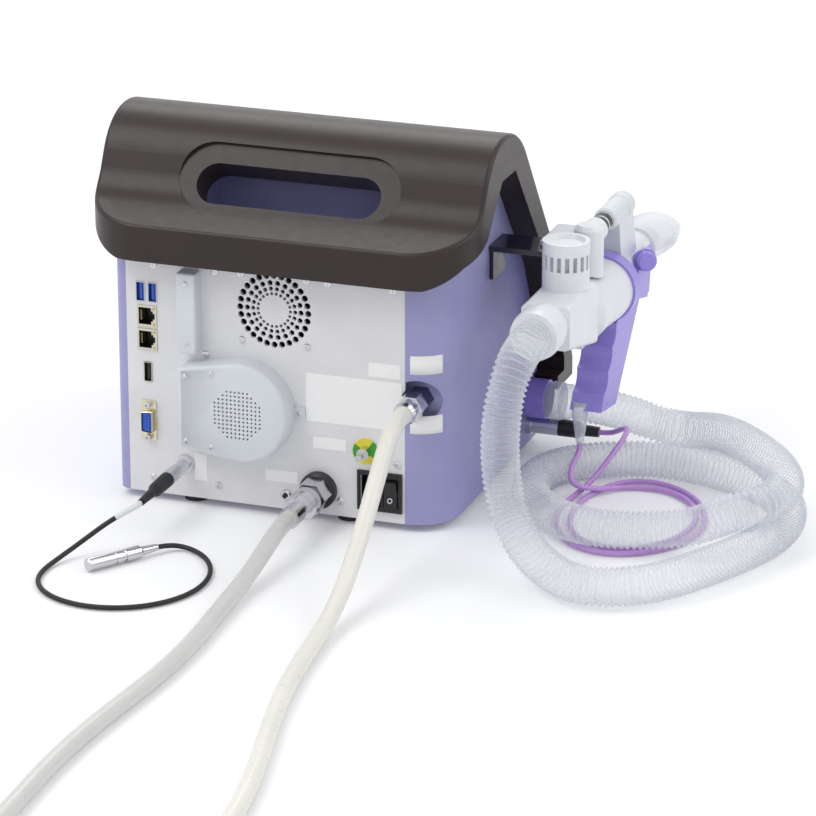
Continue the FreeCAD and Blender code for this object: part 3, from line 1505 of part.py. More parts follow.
def hose_end(label, centre, side):
    """The wall connector at the hose's far end, lying against the coil's outside."""
    body = new_body(label)
    profile = ((0, 0), (0, 7.2), (14, 7.2), (14, 9), (30, 9), (30, 6), (42, 6), (42, 0))
    lathe(body, "X", (0, 0), [(side * along, radius) for along, radius in profile])
    finish(body, label, (centre.x - side * 22, centre.y - COIL_RADIUS - COIL_BAND - 9.1, 9.1))


for gas, route, side in (("test_gas", TEST_GAS_ROUTE, -1), ("oxygen", OXYGEN_ROUTE, 1)):
    cord(gas + "_hose", route, number(d.hose_radius))
    hose_end(gas + "_hose_end", coil(gas + "_hose_coil", route, side), side)
cord("breathing_hose", BREATHING_ROUTE, number(d.hose_bore_radius))
cord("handset_cable", HANDSET_CABLE_ROUTE, number(d.cable_radius))
cord("probe_cable", PROBE_CABLE_ROUTE, number(d.probe_cable))


# Checks and files

doc.recompute()
os.makedirs("parts", exist_ok=True)
for obj in doc.Objects:
    if "Invalid" in obj.State or "Error" in obj.State:
        raise RuntimeError(f"{obj.Label} ({obj.Name}) failed: {obj.State}")
for node in nodes:
    shape = node.Shape
    if shape.isNull() or not shape.isValid() or not shape.Solids:
        raise RuntimeError(f"{node.Label} has no valid solid")
for node in nodes:
    node.Shape.exportStep(f"parts/{node.Label}.step")
print(len(nodes), "nodes written")
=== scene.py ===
import math

import bmesh
import bpy
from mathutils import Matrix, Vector


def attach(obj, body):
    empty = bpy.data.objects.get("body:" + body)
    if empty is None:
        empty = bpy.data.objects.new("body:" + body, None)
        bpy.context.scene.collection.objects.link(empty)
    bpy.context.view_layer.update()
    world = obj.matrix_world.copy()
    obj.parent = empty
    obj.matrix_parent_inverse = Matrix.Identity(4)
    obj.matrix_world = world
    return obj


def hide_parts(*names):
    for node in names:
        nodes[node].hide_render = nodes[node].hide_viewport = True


# The looks of a bench lung-function unit: its hood, casing, connector panel, handset, hoses and cables.
# Places are written in millimetres in the unit's own frame: x = 0 is the middle of the casing, y = 0 the
# outer face of the rear panel and z = 0 the table. The function spot turns them into the frame in metres.

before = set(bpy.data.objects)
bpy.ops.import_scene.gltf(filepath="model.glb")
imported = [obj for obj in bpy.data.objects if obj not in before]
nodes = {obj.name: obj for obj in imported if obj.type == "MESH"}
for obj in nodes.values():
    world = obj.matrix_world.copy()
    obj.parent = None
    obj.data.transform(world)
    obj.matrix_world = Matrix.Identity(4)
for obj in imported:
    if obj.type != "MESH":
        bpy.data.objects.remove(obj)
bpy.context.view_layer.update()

MM = 0.001
FRAME_SHIFT = Vector((36, 161, 0))


def spot(x, y, z):
    """A place of the unit's own frame, as a place in metres."""
    return (Vector((x, y, z)) - FRAME_SHIFT) * MM


def written(place):
    """A place in metres, as it is written in the unit's own frame."""
    return place / MM + FRAME_SHIFT


# Camera and lamps

CAMERA_TARGET = spot(98.4, 0, 94.8)
CAMERA_DISTANCE = 2.9429
CAMERA_AZIMUTH = math.radians(19.46)
CAMERA_ELEVATION = math.radians(20.04)
LENS = 182.6
SENSOR_WIDTH = 36
FAR_CLIP = 20
LAMP_TARGET = spot(60, 60, 120)


def direction(azimuth, elevation):
    """The way to a viewer at those angles, in radians, from the middle of the rear and from level."""
    return Vector((math.sin(azimuth) * math.cos(elevation), -math.cos(azimuth) * math.cos(elevation),
                   math.sin(elevation)))


def aim(thing, place, target):
    """Put a camera or lamp at a place and point it at a target."""
    thing.location = place
    thing.rotation_euler = (target - place).to_track_quat("-Z", "Y").to_euler()


camera_data = bpy.data.cameras.new("camera")
camera_data.lens = LENS
camera_data.sensor_width = SENSOR_WIDTH
camera_data.clip_end = FAR_CLIP
camera = bpy.data.objects.new("camera", camera_data)
bpy.context.scene.collection.objects.link(camera)
aim(camera, CAMERA_TARGET + direction(CAMERA_AZIMUTH, CAMERA_ELEVATION) * CAMERA_DISTANCE, CAMERA_TARGET)
bpy.context.scene.camera = camera
bpy.context.scene.view_settings.view_transform = "Standard"


def softbox(name, azimuth, elevation, distance, size, power):
    """A round lamp: its direction in degrees, its distance and width in metres, its power in watts."""
    light = bpy.data.lights.new(name, "AREA")
    light.shape = "DISK"
    light.size = size
    light.energy = power
    lamp = bpy.data.objects.new(name, light)
    bpy.context.scene.collection.objects.link(lamp)
    way = direction(math.radians(azimuth), math.radians(elevation))
    aim(lamp, LAMP_TARGET + way * distance, LAMP_TARGET)


softbox("key_light", -48, 52, 2.4, 1.6, 19)
softbox("side_light", 95, 38, 2.4, 1.8, 12)
softbox("back_light", 200, 48, 2.6, 1.6, 13)


# Shader maths

# Where a Mix node keeps its share and its two colours among its inputs, and its colour among its outputs
MIX_FACTOR = 0
MIX_FIRST = 6
MIX_SECOND = 7
MIX_COLOUR = 2


class Wire:
    """What comes out of a shader node. Numbers take the usual signs of arithmetic."""

    def __init__(self, tree, socket):
        self.tree = tree
        self.socket = socket

    def maths(self, operation, first, second=0.0):
        return self.tree.node("ShaderNodeMath", {"operation": operation}, {0: first, 1: second})

    def __add__(self, other):
        return self.maths("ADD", self, other)

    def __radd__(self, other):
        return self.maths("ADD", other, self)

    def __sub__(self, other):
        return self.maths("SUBTRACT", self, other)

    def __rsub__(self, other):
        return self.maths("SUBTRACT", other, self)

    def __mul__(self, other):
        return self.maths("MULTIPLY", self, other)

    def __rmul__(self, other):
        return self.maths("MULTIPLY", other, self)

    def __gt__(self, other):
        return self.maths("GREATER_THAN", self, other)

    def __lt__(self, other):
        return self.maths("LESS_THAN", self, other)

    def wave(self):
        return self.maths("SINE", self)

    def size(self):
        return self.maths("ABSOLUTE", self)

    def most(self, other):
        return self.maths("MAXIMUM", self, other)

    def angle(self, run):
        """The angle of this rise over that run, in radians."""
        return self.maths("ARCTAN2", self, run)

    def rise(self, low, high):
        """0 below low and 1 above high, with a smooth step between."""
        return self.tree.node("ShaderNodeMapRange", {"interpolation_type": "SMOOTHSTEP"},
                              {"Value": self, "From Min": low, "From Max": high})

    def beside(self, name):
        """Another output of the same node."""
        return Wire(self.tree, self.socket.node.outputs[name])


class Tree:
    """The shader nodes of a material or of the world."""

    def __init__(self, owner):
        owner.use_nodes = True
        self.nodes = owner.node_tree.nodes
        self.links = owner.node_tree.links

    def node(self, kind, settings, values, output=0):
        """A new node's output, from the node's settings and the values or links of its sockets."""
        made = self.nodes.new(kind)
        for key, value in settings.items():
            setattr(made, key, value)
        for key, value in values.items():
            if isinstance(value, Wire):
                self.links.new(value.socket, made.inputs[key])
            else:
                made.inputs[key].default_value = value
        return Wire(self, made.outputs[output])


class Finish(Tree):
    """A material in the making. What is the same all over is set on the shader's own sockets."""

    def __init__(self, name, colour, roughness, **settings):
        self.material = bpy.data.materials.new(name)
        super().__init__(self.material)
        self.shader = self.nodes["Principled BSDF"]
        self.shader.inputs["Base Color"].default_value = colour
        self.shader.inputs["Roughness"].default_value = roughness
        for key, value in settings.items():
            self.shader.inputs[key.replace("_", " ").title().replace("Ior", "IOR")].default_value = value

    def feed(self, name, wire):
        """Let what varies over the surface drive one of the shader's sockets."""
        self.links.new(wire.socket, self.shader.inputs[name])

    def position(self):
        """The Object coordinates, in metres."""
        return self.node("ShaderNodeTexCoord", {}, {}, "Object")

    def axes(self):
        """The Object coordinates one by one."""
        x = self.node("ShaderNodeSeparateXYZ", {}, {0: self.position()}, "X")
        return x, x.beside("Y"), x.beside("Z")

    def noise(self, size, detail=2.0, stretch=None):
        """Noise with features of about that many millimetres."""
        place = self.position()
        if stretch:
            place = self.node("ShaderNodeVectorMath", {"operation": "MULTIPLY"}, {0: place, 1: stretch})
        return self.node("ShaderNodeTexNoise", {},
                         {"Vector": place, "Scale": 1 / (size * MM), "Detail": detail})

    def blend(self, amount, first, second):
        """A colour between two, by a share from 0 to 1."""
        return self.node("ShaderNodeMix", {"data_type": "RGBA"},
                         {MIX_FACTOR: amount, MIX_FIRST: first, MIX_SECOND: second}, MIX_COLOUR)

    def bump(self, height, depth):
        """Relief of that many millimetres."""
        self.feed("Normal", self.node("ShaderNodeBump", {}, {"Height": height, "Distance": depth * MM,
                                                             "Strength": 1.0}))


# Finishes

CLOUD_SIZE = 38
SMEAR_SIZE = 6
SMEAR_GLOSS = 0.16
TOOL_LINE_SIZE = 2.2
TOOL_LINE_DEPTH = 0.006


def linear(red, green, blue):
    """The linear colour of an sRGB colour in steps of 255."""
    def part(value):
        value /= 255
        return value / 12.92 if value <= 0.04045 else ((value + 0.055) / 1.055) ** 2.4
    return (part(red), part(green), part(blue), 1)


def shade(colour, factor):
    """A colour made darker or lighter by a factor."""
    return tuple(min(value * factor, 1) for value in colour[:3]) + (1,)


def moulded(name, colour, roughness, grain, depth, cloud, **settings):
    """Moulded or painted surface: a fine grain in relief, and faint clouds in colour and gloss."""
    finish = Finish(name, colour, roughness, **settings)
    clouds = finish.noise(CLOUD_SIZE, 3).rise(0.3, 0.7)
    finish.feed("Base Color", finish.blend(clouds, shade(colour, 1 - cloud), shade(colour, 1 + cloud)))
    finish.feed("Roughness", finish.noise(SMEAR_SIZE, 3) * SMEAR_GLOSS + (roughness - SMEAR_GLOSS / 2))
    finish.bump(finish.noise(grain), depth)
    return finish


def bright_metal(name, colour, roughness, stretch=(1, 18, 1)):
    """Plated or turned metal with faint machining lines and handling marks."""
    finish = Finish(name, colour, roughness, metallic=1)
    lines = finish.noise(TOOL_LINE_SIZE, 3, stretch)
    finish.feed("Roughness", finish.noise(5, 3) * 0.12 + lines * 0.1 + (roughness - 0.1))
    finish.feed("Base Color", finish.blend(finish.noise(9), shade(colour, 0.86), colour))
    finish.bump(lines, TOOL_LINE_DEPTH)
    return finish


def see_through(name, colour, roughness, edge, middle, grain, depth):
    """Thin clear plastic: nearly invisible face on, milky where the wall turns away from the eye."""
    finish = Finish(name, colour, roughness, specular_ior_level=0.6)
    facing = finish.node("ShaderNodeLayerWeight", {}, {"Blend": 0.35}, "Facing")
    haze = finish.noise(grain * 4, 3)
    finish.feed("Alpha", facing * (edge - middle) + haze * 0.1 + (middle - 0.05))
    finish.feed("Base Color", finish.blend(haze, shade(colour, 0.93), colour))
    finish.bump(finish.noise(grain), depth)
    return finish


EARTH_CENTRE = spot(66.5, 0, 58)
EARTH_TURN = 1.2 + math.pi
EARTH_GREEN = linear(62, 158, 44)
EARTH_YELLOW = linear(228, 214, 60)


def earth_colours():
    """Green and yellow quarters round the earth terminal."""
    finish = Finish("green_yellow_washer", EARTH_GREEN, 0.35)
    x, _, z = finish.axes()
    turn = (z - EARTH_CENTRE.z).angle(x - EARTH_CENTRE.x)
    quarter = (turn * 2 + EARTH_TURN).wave().rise(-0.06, 0.06)
    finish.feed("Base Color", finish.blend(quarter, EARTH_GREEN, EARTH_YELLOW))
    finish.feed("Roughness", finish.noise(4) * 0.2 + 0.25)
    finish.bump(finish.noise(1.5), 0.02)
    return finish


RIM_DEPTH = 0.35


def deep_dark(name, rim, inside, face):
    """Bright metal at the face, and dark plastic further in than the rim."""
    finish = Finish(name, rim, 0.3)
    _, y, _ = finish.axes()
    depth = y.rise(spot(0, face, 0).y, spot(0, face + RIM_DEPTH, 0).y)
    finish.feed("Base Color", finish.blend(depth, rim, inside))
    finish.feed("Metallic", 1 - depth)
    finish.feed("Roughness", finish.noise(3) * 0.15 + 0.24)
    finish.bump(finish.noise(1.2), 0.008)
    return finish


TONGUE_START = spot(0, -0.6, 0).y


def tongue_and_shell(name, columns, half, tongue, shell):
    """A metal shell with a plastic tongue: the tongue is where x lies near one of the columns."""
    finish = Finish(name, shell, 0.28)
    x, y, _ = finish.axes()
    near = [(x - spot(column, 0, 0).x).size() < half * MM for column in columns]
    inner = sum(near[1:], near[0]) * (y > TONGUE_START)
    finish.feed("Base Color", finish.blend(inner, shell, tongue))
    finish.feed("Metallic", 1 - inner)
    finish.feed("Roughness", finish.noise(3) * 0.2 + 0.24)
    finish.bump(finish.noise(1.4), 0.008)
    return finish


HOOD_BROWN = linear(50, 42, 40)
LAVENDER = linear(158, 157, 204)
PANEL_GREY = linear(230, 230, 233)
COVER_GREY = linear(218, 223, 228)
WHITE = linear(230, 233, 237)
PURPLE = linear(158, 142, 226)
LILAC = linear(202, 156, 226)
BLACK = linear(26, 26, 29)
CHROME = linear(222, 222, 226)
IVORY = linear(238, 236, 228)
SOCKET_BLUE = linear(40, 92, 205)

PORT_COLUMN = -101.5
USB_SPREAD = 4.7
USB_COLUMNS = (PORT_COLUMN - USB_SPREAD, PORT_COLUMN + USB_SPREAD)

finishes = {
    "hood": moulded("hood_satin_brown", HOOD_BROWN, 0.33, 0.5, 0.01, 0.05, specular_ior_level=0.32),
    "lavender": moulded("lavender_moulding", LAVENDER, 0.44, 0.8, 0.02, 0.04),
    "panel": moulded("powder_coated_panel", PANEL_GREY, 0.46, 0.45, 0.012, 0.03),
    "cover": moulded("grey_cover_moulding", COVER_GREY, 0.42, 0.6, 0.012, 0.03),
    "white": moulded("white_moulding", WHITE, 0.34, 1.2, 0.008, 0.02),
    "purple": moulded("purple_moulding", PURPLE, 0.3, 1.6, 0.004, 0.05),
    "black": moulded("black_moulding", BLACK, 0.38, 0.6, 0.015, 0.12),
    "dark_gloss": moulded("dark_glossy_moulding", linear(38, 36, 52), 0.16, 1.5, 0.004, 0.1),
    "rubber": moulded("black_rubber", linear(30, 30, 33), 0.62, 0.4, 0.03, 0.1),
    "board": moulded("green_circuit_board", linear(40, 110, 62), 0.4, 1.4, 0.03, 0.15),
    "blue": moulded("blue_socket_insert", SOCKET_BLUE, 0.34, 0.8, 0.01, 0.06),
    "navy": moulded("dark_anodised_fitting", linear(66, 66, 104), 0.26, 0.9, 0.006, 0.1, metallic=0.55),
    "film": moulded("plain_label_film", linear(250, 250, 250), 0.3, 2.4, 0.001, 0.01),
    "amber": moulded("amber_light_guide", linear(206, 184, 96), 0.2, 1.0, 0.004, 0.05),
    "ivory_hose": moulded("ivory_hose", IVORY, 0.3, 3.0, 0.004, 0.02),
    "lilac_cable": moulded("lilac_cable", LILAC, 0.28, 1.2, 0.006, 0.05),
    "chrome": bright_metal("bright_plated_metal", CHROME, 0.16),
    "steel": bright_metal("zinc_plated_steel", linear(190, 190, 194), 0.32, (1, 1, 8)),
    "gold": bright_metal("pale_gold_plating", linear(226, 210, 168), 0.3),
    "cream": bright_metal("cream_plated_flange", linear(226, 218, 190), 0.28),
    "clear": see_through("clear_moulding", linear(236, 240, 246), 0.16, 0.9, 0.42, 6, 0.01),
    "clear_hose": see_through("clear_corrugated_hose", linear(232, 236, 242), 0.14, 0.8, 0.2, 5, 0.01),
    "milky_hose": see_through("clear_reinforced_hose", linear(226, 226, 224), 0.22, 0.95, 0.7, 5, 0.02),
    "earth": earth_colours(),
    "network": deep_dark("socket_frame_metal", linear(206, 202, 190), linear(22, 20, 20), -0.3),
    "usb": tongue_and_shell("usb_shell_and_tongue", USB_COLUMNS, 1.6, SOCKET_BLUE, linear(196, 198, 204)),
    "video": tongue_and_shell("video_shell_and_tongue", (PORT_COLUMN,), 1.3, linear(30, 30, 32),
                              linear(182, 178, 168)),
}

NODE_FINISHES = {
    "hood": ["top_hood"],
    "lavender": ["left_casing", "right_casing", "base_tray", "handle_well"],
    "panel": ["rear_panel"],
    "cover": ["duct_cover", "grille_cover", "front_cover", "sensor_body", "holder_cradle"],
    "white": ["valve_body", "valve_drum", "hose_collar", "flow_housing", "sampling_elbow"],
    "purple": ["handset_grip", "clamp_knob", "side_port", "lock_ring"],
    "black": ["fan_frame", "fan_rotor", "mains_inlet", "power_rocker", "test_gas_port", "handset_plug_boot",
              "network_sockets"],
    "dark_gloss": ["holder_arm"],
    "rubber": ["rubber_feet", "probe_plug_boot", "probe_cable"],
    "board": ["main_board"],
    "blue": ["screen_socket"],
    "navy": ["oxygen_port"],
    "chrome": ["panel_screws", "test_gas_coupler", "coupler_sleeve", "test_gas_hose_end", "oxygen_nut",
               "oxygen_hose_end", "probe_socket", "probe_plug", "probe_barrel", "handset_plug", "earth_pin",
               "airway_adapter"],
    "steel": ["power_supply", "gas_analyser"],
    "clear": ["mouthpiece", "port_connector", "grip_strain_relief"],
    "clear_hose": ["breathing_hose"],
    "milky_hose": ["test_gas_hose", "test_gas_hose_coil"],
    "ivory_hose": ["oxygen_hose", "oxygen_hose_coil"],
    "lilac_cable": ["handset_cable"],
    "earth": ["earth_washer"],
    "usb": ["usb_sockets"],
    "video": ["video_socket"],
}


def wear(piece, finish):
    """Give a piece one material, in place of any that it has."""
    piece.data.materials.clear()
    piece.data.materials.append(finish.material)


for finish_name, members in NODE_FINISHES.items():
    for member in members:
        wear(nodes[member], finishes[finish_name])

# Table and backdrop

TABLE_SIZE = 14
TABLE_DROP = 0.4
TABLE_COLOUR = (0.93, 0.935, 0.95, 1)
TABLE_GLOW = 0.1
WORLD_LIGHT = 0.62
PLAIN_WHITE = (1, 1, 1, 1)


def white_table():
    """A plain white table that keeps the shadows."""
    bpy.ops.object.select_all(action="DESELECT")
    bpy.ops.mesh.primitive_plane_add(size=TABLE_SIZE, location=(0, 0, -TABLE_DROP * MM))
    table = bpy.context.object
    table.name = "white_table"
    finish = Finish("white_table", TABLE_COLOUR, 0.9, specular_ior_level=0.1, emission_color=PLAIN_WHITE)
    finish.feed("Roughness", finish.noise(400, 1) * 0.05 + 0.87)
    finish.feed("Emission Strength", finish.node("ShaderNodeLightPath", {}, {}, "Is Camera Ray") * TABLE_GLOW)
    wear(table, finish)


def white_studio():
    """A world that is white to the eye and in mirrors, and lights the unit a little less."""
    world = bpy.data.worlds.new("white_studio")
    bpy.context.scene.world = world
    studio = Tree(world)
    seen = studio.node("ShaderNodeLightPath", {}, {}, "Is Camera Ray")
    seen = seen.most(seen.beside("Is Glossy Ray")).most(seen.beside("Is Transmission Ray"))
    level = studio.node("ShaderNodeMapRange", {}, {"Value": seen, "To Min": WORLD_LIGHT, "To Max": 1})
    background = studio.nodes["Background"]
    background.inputs["Color"].default_value = PLAIN_WHITE
    studio.links.new(level.socket, background.inputs["Strength"])


white_table()
white_studio()

# Cords: each is one smooth spline whose control points are the route that the solid follows too

BREATHING_ROUTE = (
    (155.5, 187, 43), (173, 187, 43), (199, 205.5, 33.5), (222, 217, 22), (248, 212, 22), (272, 189, 33),
    (296, 159, 42), (319, 132, 45), (340, 107, 45.5), (356, 80, 45), (361, 52, 44.5), (352, 28, 43),
    (333, 21, 38), (315, 26, 27), (297, 25, 19.6), (275, 16, 18.6), (251, 8, 18.7), (226, 8, 18.6),
    (202, 20, 18.2), (182, 42, 16), (167, 70, 14.5), (162, 98, 14.2), (170.8, 127, 14.3), (194, 148, 14.2),
    (222, 162, 14.3), (252, 166, 14.2), (282, 159, 14.3), (310, 146, 14.2), (334, 129, 14.3),
    (352, 105, 14.2), (359, 75, 14.3), (357, 44, 14.2), (346, 11, 14.3), (329, -24, 14.2), (307, -62, 14.3),
    (280, -84, 14.2), (250, -89, 14.6), (224, -75, 18.5), (204, -61, 29), (191, -53, 47), (185.5, -51, 70),
    (184, -52, 95), (185.5, -52, 119), (188, -47, 139), (190.5, -37, 153), (192.5, -20, 160),
    (192.5, -4, 160))
HANDSET_CABLE_ROUTE = (
    (183.5, 190, 20.5), (190, 190, 20.5), (197, 186.5, 23.5), (204, 181, 28.5), (210, 175, 32.5),
    (213, 163, 33.2), (213, 151, 30.5), (209, 138, 23.5), (203, 127, 13.5), (197, 116, 6.2),
    (192, 102, 2.9), (189, 84, 2.2), (190, 64, 2.3), (197, 40, 2.2), (211, 17, 2.3), (229, 5, 2.2),
    (249, 3, 2.3), (268, 11, 2.2), (284, 27, 2.3), (295, 48, 2.2), (298, 72, 2.3), (293, 98, 2.2),
    (281, 122, 2.3), (263, 140, 2.2), (243, 149, 2.3), (224, 147, 2.2), (211, 134, 2.3), (203, 115, 2.2),
    (199, 92, 2.3), (200, 66, 2.2), (207, 41, 2.3), (219, 23, 2.2), (235, 14, 2.3), (252, 14, 2.2),
    (268, 22, 2.3), (281, 38, 2.2), (289, 60, 2.3), (290, 82, 2.2), (283, 106, 2.3), (270, 125, 2.2),
    (252, 136, 2.3), (234, 136, 2.2), (219, 130, 2.4), (211, 120, 4), (204, 110, 7), (197, 104, 9),
    (190, 103, 11.5), (186.5, 107.5, 15.5), (185.3, 115, 20), (186.4, 124.5, 24.5), (187.1, 129, 28.5),
    (187.1, 129, 34))
PROBE_CABLE_ROUTE = (
    (-73.3, -84, 31.4), (-73.3, -90, 31.4), (-80.5, -98, 28), (-92, -108, 20.5), (-102, -117, 12.5),
    (-110.5, -128, 6), (-116, -142, 2.4), (-117.5, -159, 1.9), (-113.5, -177, 2), (-103, -192, 1.9),
    (-87, -203, 2), (-67, -208, 1.9), (-46, -206, 2), (-26, -196, 1.9), (-11, -180, 2), (-2.5, -160, 1.9),
    (-1, -138, 2), (-6.5, -117, 1.9), (-17.5, -99, 2), (-32, -88, 2.2), (-44, -87, 3.4),
    (-51.5, -93.8, 4.9), (-55.3, -99.2, 5.2))
TEST_GAS_ROUTE = (
    (30.6, -62, 24.3), (30.6, -80, 24.3), (30.2, -102, 19), (29.5, -128, 12), (29.2, -158, 7.5),
    (30.5, -192, 6.3), (33, -228, 6.4), (34.5, -266, 6.3), (33.5, -306, 6.4), (30, -346, 6.3),
    (26, -386, 6.4), (23.5, -426, 6.3), (23.3, -466, 6.4), (25, -506, 6.3), (27, -546, 6.4),
    (27.5, -586, 6.3), (26.5, -617, 6.4))
OXYGEN_ROUTE = (
    (104, -26, 99), (104, -41, 99), (104.6, -61, 90.5), (105.6, -84, 74), (106.4, -106, 56),
    (107, -130, 37.5), (107.8, -157, 21), (109, -188, 10), (111, -222, 6.5), (114.5, -260, 6.3),
    (120, -300, 6.4), (128, -342, 6.3), (138, -384, 6.4), (148, -426, 6.3), (156, -468, 6.4),
    (161, -510, 6.3), (163, -552, 6.4), (163, -590, 6.3), (161.5, -620, 6.4))

COIL_RADIUS = 66
COIL_BAND = 13
GAS_HOSE_RADIUS = 6.2
TURNS = 3
TURN_POINTS = 14
LANE_CHANGE = 3
LANE_SHIFT = 6.4
TABLE_GAP = 0.1
END_HEIGHT = 9.1
END_INSET = 22
LEAD_IN = ((34, 22, 16), (16, 1, END_HEIGHT), (-1, 0, END_HEIGHT))


def coiled(route, side):
    """The hose's route, then its neat coil of three turns, which ends in the wall connector."""
    end, before = Vector(route[-1]), Vector(route[-2])
    ahead = (end - before).normalized()
    centre = end + Vector((-ahead.y, ahead.x, 0)) * side * (COIL_RADIUS + GAS_HOSE_RADIUS)
    first_angle = math.atan2(end.y - centre.y, end.x - centre.x)
    wide, narrow = COIL_RADIUS + LANE_SHIFT, COIL_RADIUS - LANE_SHIFT
    low, high = GAS_HOSE_RADIUS + TABLE_GAP, GAS_HOSE_RADIUS * 3 + TABLE_GAP
    lanes = [(wide, low), (narrow, low), (narrow, high), (wide, high), (wide, high)]
    spread = 1 / math.cos(math.pi / TURN_POINTS) ** 0.5
    points = list(route)
    for step in range(1, TURN_POINTS * TURNS + 2):
        turn, part = divmod(step, TURN_POINTS)
        change = max(0, part - TURN_POINTS + LANE_CHANGE) / LANE_CHANGE
        radius, height = [a + (b - a) * change for a, b in zip(lanes[turn], lanes[turn + 1])]
        angle = first_angle + side * 2 * math.pi * step / TURN_POINTS
        points.append((centre.x + math.cos(angle) * radius * spread,
                       centre.y + math.sin(angle) * radius * spread, height))
    row = centre.y - COIL_RADIUS - COIL_BAND - END_HEIGHT
    inlet = centre.x - side * END_INSET
    points += [(inlet - side * back, row + aside, height) for back, aside, height in LEAD_IN]
    return points


SPLINE_ORDER = 3
SPLINE_STEPS = 6


def spline(name, route, radius):
    """One open spline with the route's points as its control points."""
    curve = bpy.data.curves.new(name, "CURVE")
    curve.dimensions = "3D"
    line = curve.splines.new("NURBS")
    line.points.add(len(route) - 1)
    for point, place in zip(line.points, route):
        point.co = (*spot(*place), 1)
    line.order_u = SPLINE_ORDER
    line.use_endpoint_u = True
    line.resolution_u = SPLINE_STEPS
    curve.resolution_u = SPLINE_STEPS
    curve.bevel_depth = radius * MM
    curve.bevel_resolution = SPLINE_STEPS
    curve.use_fill_caps = radius > 0
    piece = bpy.data.objects.new(name, curve)
    bpy.context.scene.collection.objects.link(piece)
    return piece


def followed(route, step):
    """Evenly spaced points along the route's smooth line, in metres."""
    bare = spline("bare_line", route, 0)
    mesh = bpy.data.meshes.new_from_object(bare)
    line = [vertex.co.copy() for vertex in mesh.vertices]
    bpy.data.objects.remove(bare)
    bpy.data.meshes.remove(mesh)
    places = [0.0]
    for start, end in zip(line, line[1:]):
        places.append(places[-1] + (end - start).length)
    count = round(places[-1] / (step * MM))
    points = []
    index = 0
    for mark in range(count + 1):
        reach = places[-1] * mark / count
        while index < len(line) - 2 and places[index + 1] < reach:
            index += 1
        part = (reach - places[index]) / (places[index + 1] - places[index])
        points.append(line[index].lerp(line[index + 1], part))
    return points


def swept(name, points, radii, sides, finish):
    """A closed tube along the points that doesn't twist, each ring with its own radius."""
    mesh = bmesh.new()
    tangents = [(points[min(i + 1, len(points) - 1)] - points[max(i - 1, 0)]).normalized()
                for i in range(len(points))]
    angles = [2 * math.pi * side / sides for side in range(sides)]
    up = tangents[0].orthogonal().normalized()
    rings = []
    for point, tangent, radius in zip(points, tangents, radii):
        up = (up - tangent * up.dot(tangent)).normalized()
        across = tangent.cross(up)
        spokes = [up * math.cos(angle) + across * math.sin(angle) for angle in angles]
        rings.append([mesh.verts.new(point + spoke * radius * MM) for spoke in spokes])
    for near, far in zip(rings, rings[1:]):
        for side in range(sides):
            after = (side + 1) % sides
            mesh.faces.new((near[side], near[after], far[after], far[side]))
    mesh.faces.new(list(reversed(rings[0])))
    mesh.faces.new(rings[-1])
    bmesh.ops.recalc_face_normals(mesh, faces=mesh.faces)
    data = bpy.data.meshes.new(name)
    mesh.to_mesh(data)
    mesh.free()
    data.shade_smooth()
    piece = bpy.data.objects.new(name, data)
    bpy.context.scene.collection.objects.link(piece)
    wear(piece, finish)
    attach(piece, "unit")
    return piece


HOSE_RADIUS = 13
HOSE_SIDES = 28
RIPPLE_PITCH = 4.3
RIPPLE_STEPS = 6
RIPPLE_HEIGHT = 1.0
CUFF_RADIUS = 13.4
CUFF_RINGS = 9


def breathing_hose():
    """The clear hose with its corrugations and a plain cuff at either end."""
    points = followed(BREATHING_ROUTE, RIPPLE_PITCH / RIPPLE_STEPS)
    radii = [HOSE_RADIUS - RIPPLE_HEIGHT * math.cos(2 * math.pi * index / RIPPLE_STEPS)
             for index in range(len(points))]
    for index in range(CUFF_RINGS):
        radii[index] = radii[-1 - index] = CUFF_RADIUS
    hose = swept("corrugated_breathing_hose", points, radii, HOSE_SIDES, finishes["clear_hose"])
    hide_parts("breathing_hose")
    points[::4] + [points[-1]]


SLEEVE_STEP = 1.5
SLEEVE_RINGS = 16
SLEEVE_SIDES = 20
SLEEVE_RADIUS = 2.25
SLEEVE_END_RADIUS = 2.0


def cable_sleeve():
    """The white sleeve on the first stretch of the probe cable, just past its boot."""
    points = followed(PROBE_CABLE_ROUTE, SLEEVE_STEP)[1:SLEEVE_RINGS + 1]
    radii = [SLEEVE_END_RADIUS] + [SLEEVE_RADIUS] * (SLEEVE_RINGS - 2) + [SLEEVE_END_RADIUS]
    return swept("white_cable_sleeve", points, radii, SLEEVE_SIDES, finishes["white"])


def plain_cord(name, route, radius, finish, replaced, **words):
    """A cord of even thickness along its route, in place of the solids that follow it."""
    piece = spline(name, route, radius)
    wear(piece, finish)
    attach(piece, "unit")
    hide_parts(*replaced)


breathing_hose()
probe_sleeve = cable_sleeve()
plain_cord("lilac_handset_cable", HANDSET_CABLE_ROUTE, 2, finishes["lilac_cable"], ["handset_cable"],
           length=0.894, far_end="object", stiffness="medium", lay="loose",
           with_pieces=[nodes["handset_plug"], nodes["handset_plug_boot"], nodes["grip_strain_relief"]])
plain_cord("thin_probe_cable", PROBE_CABLE_ROUTE, 1.8, finishes["rubber"], ["probe_cable"],
           length=0.369, far_end="tool", stiffness="medium", lay="loose",
           with_pieces=[nodes["probe_plug"], nodes["probe_plug_boot"], nodes["probe_barrel"], probe_sleeve])
plain_cord("clear_test_gas_hose", coiled(TEST_GAS_ROUTE, -1), GAS_HOSE_RADIUS, finishes["milky_hose"],
           ["test_gas_hose", "test_gas_hose_coil"], length=1.9, far_end="connector", stiffness="stiff",
           lay="coiled", with_pieces=[nodes["test_gas_coupler"], nodes["coupler_sleeve"],
                                      nodes["test_gas_hose_end"]])
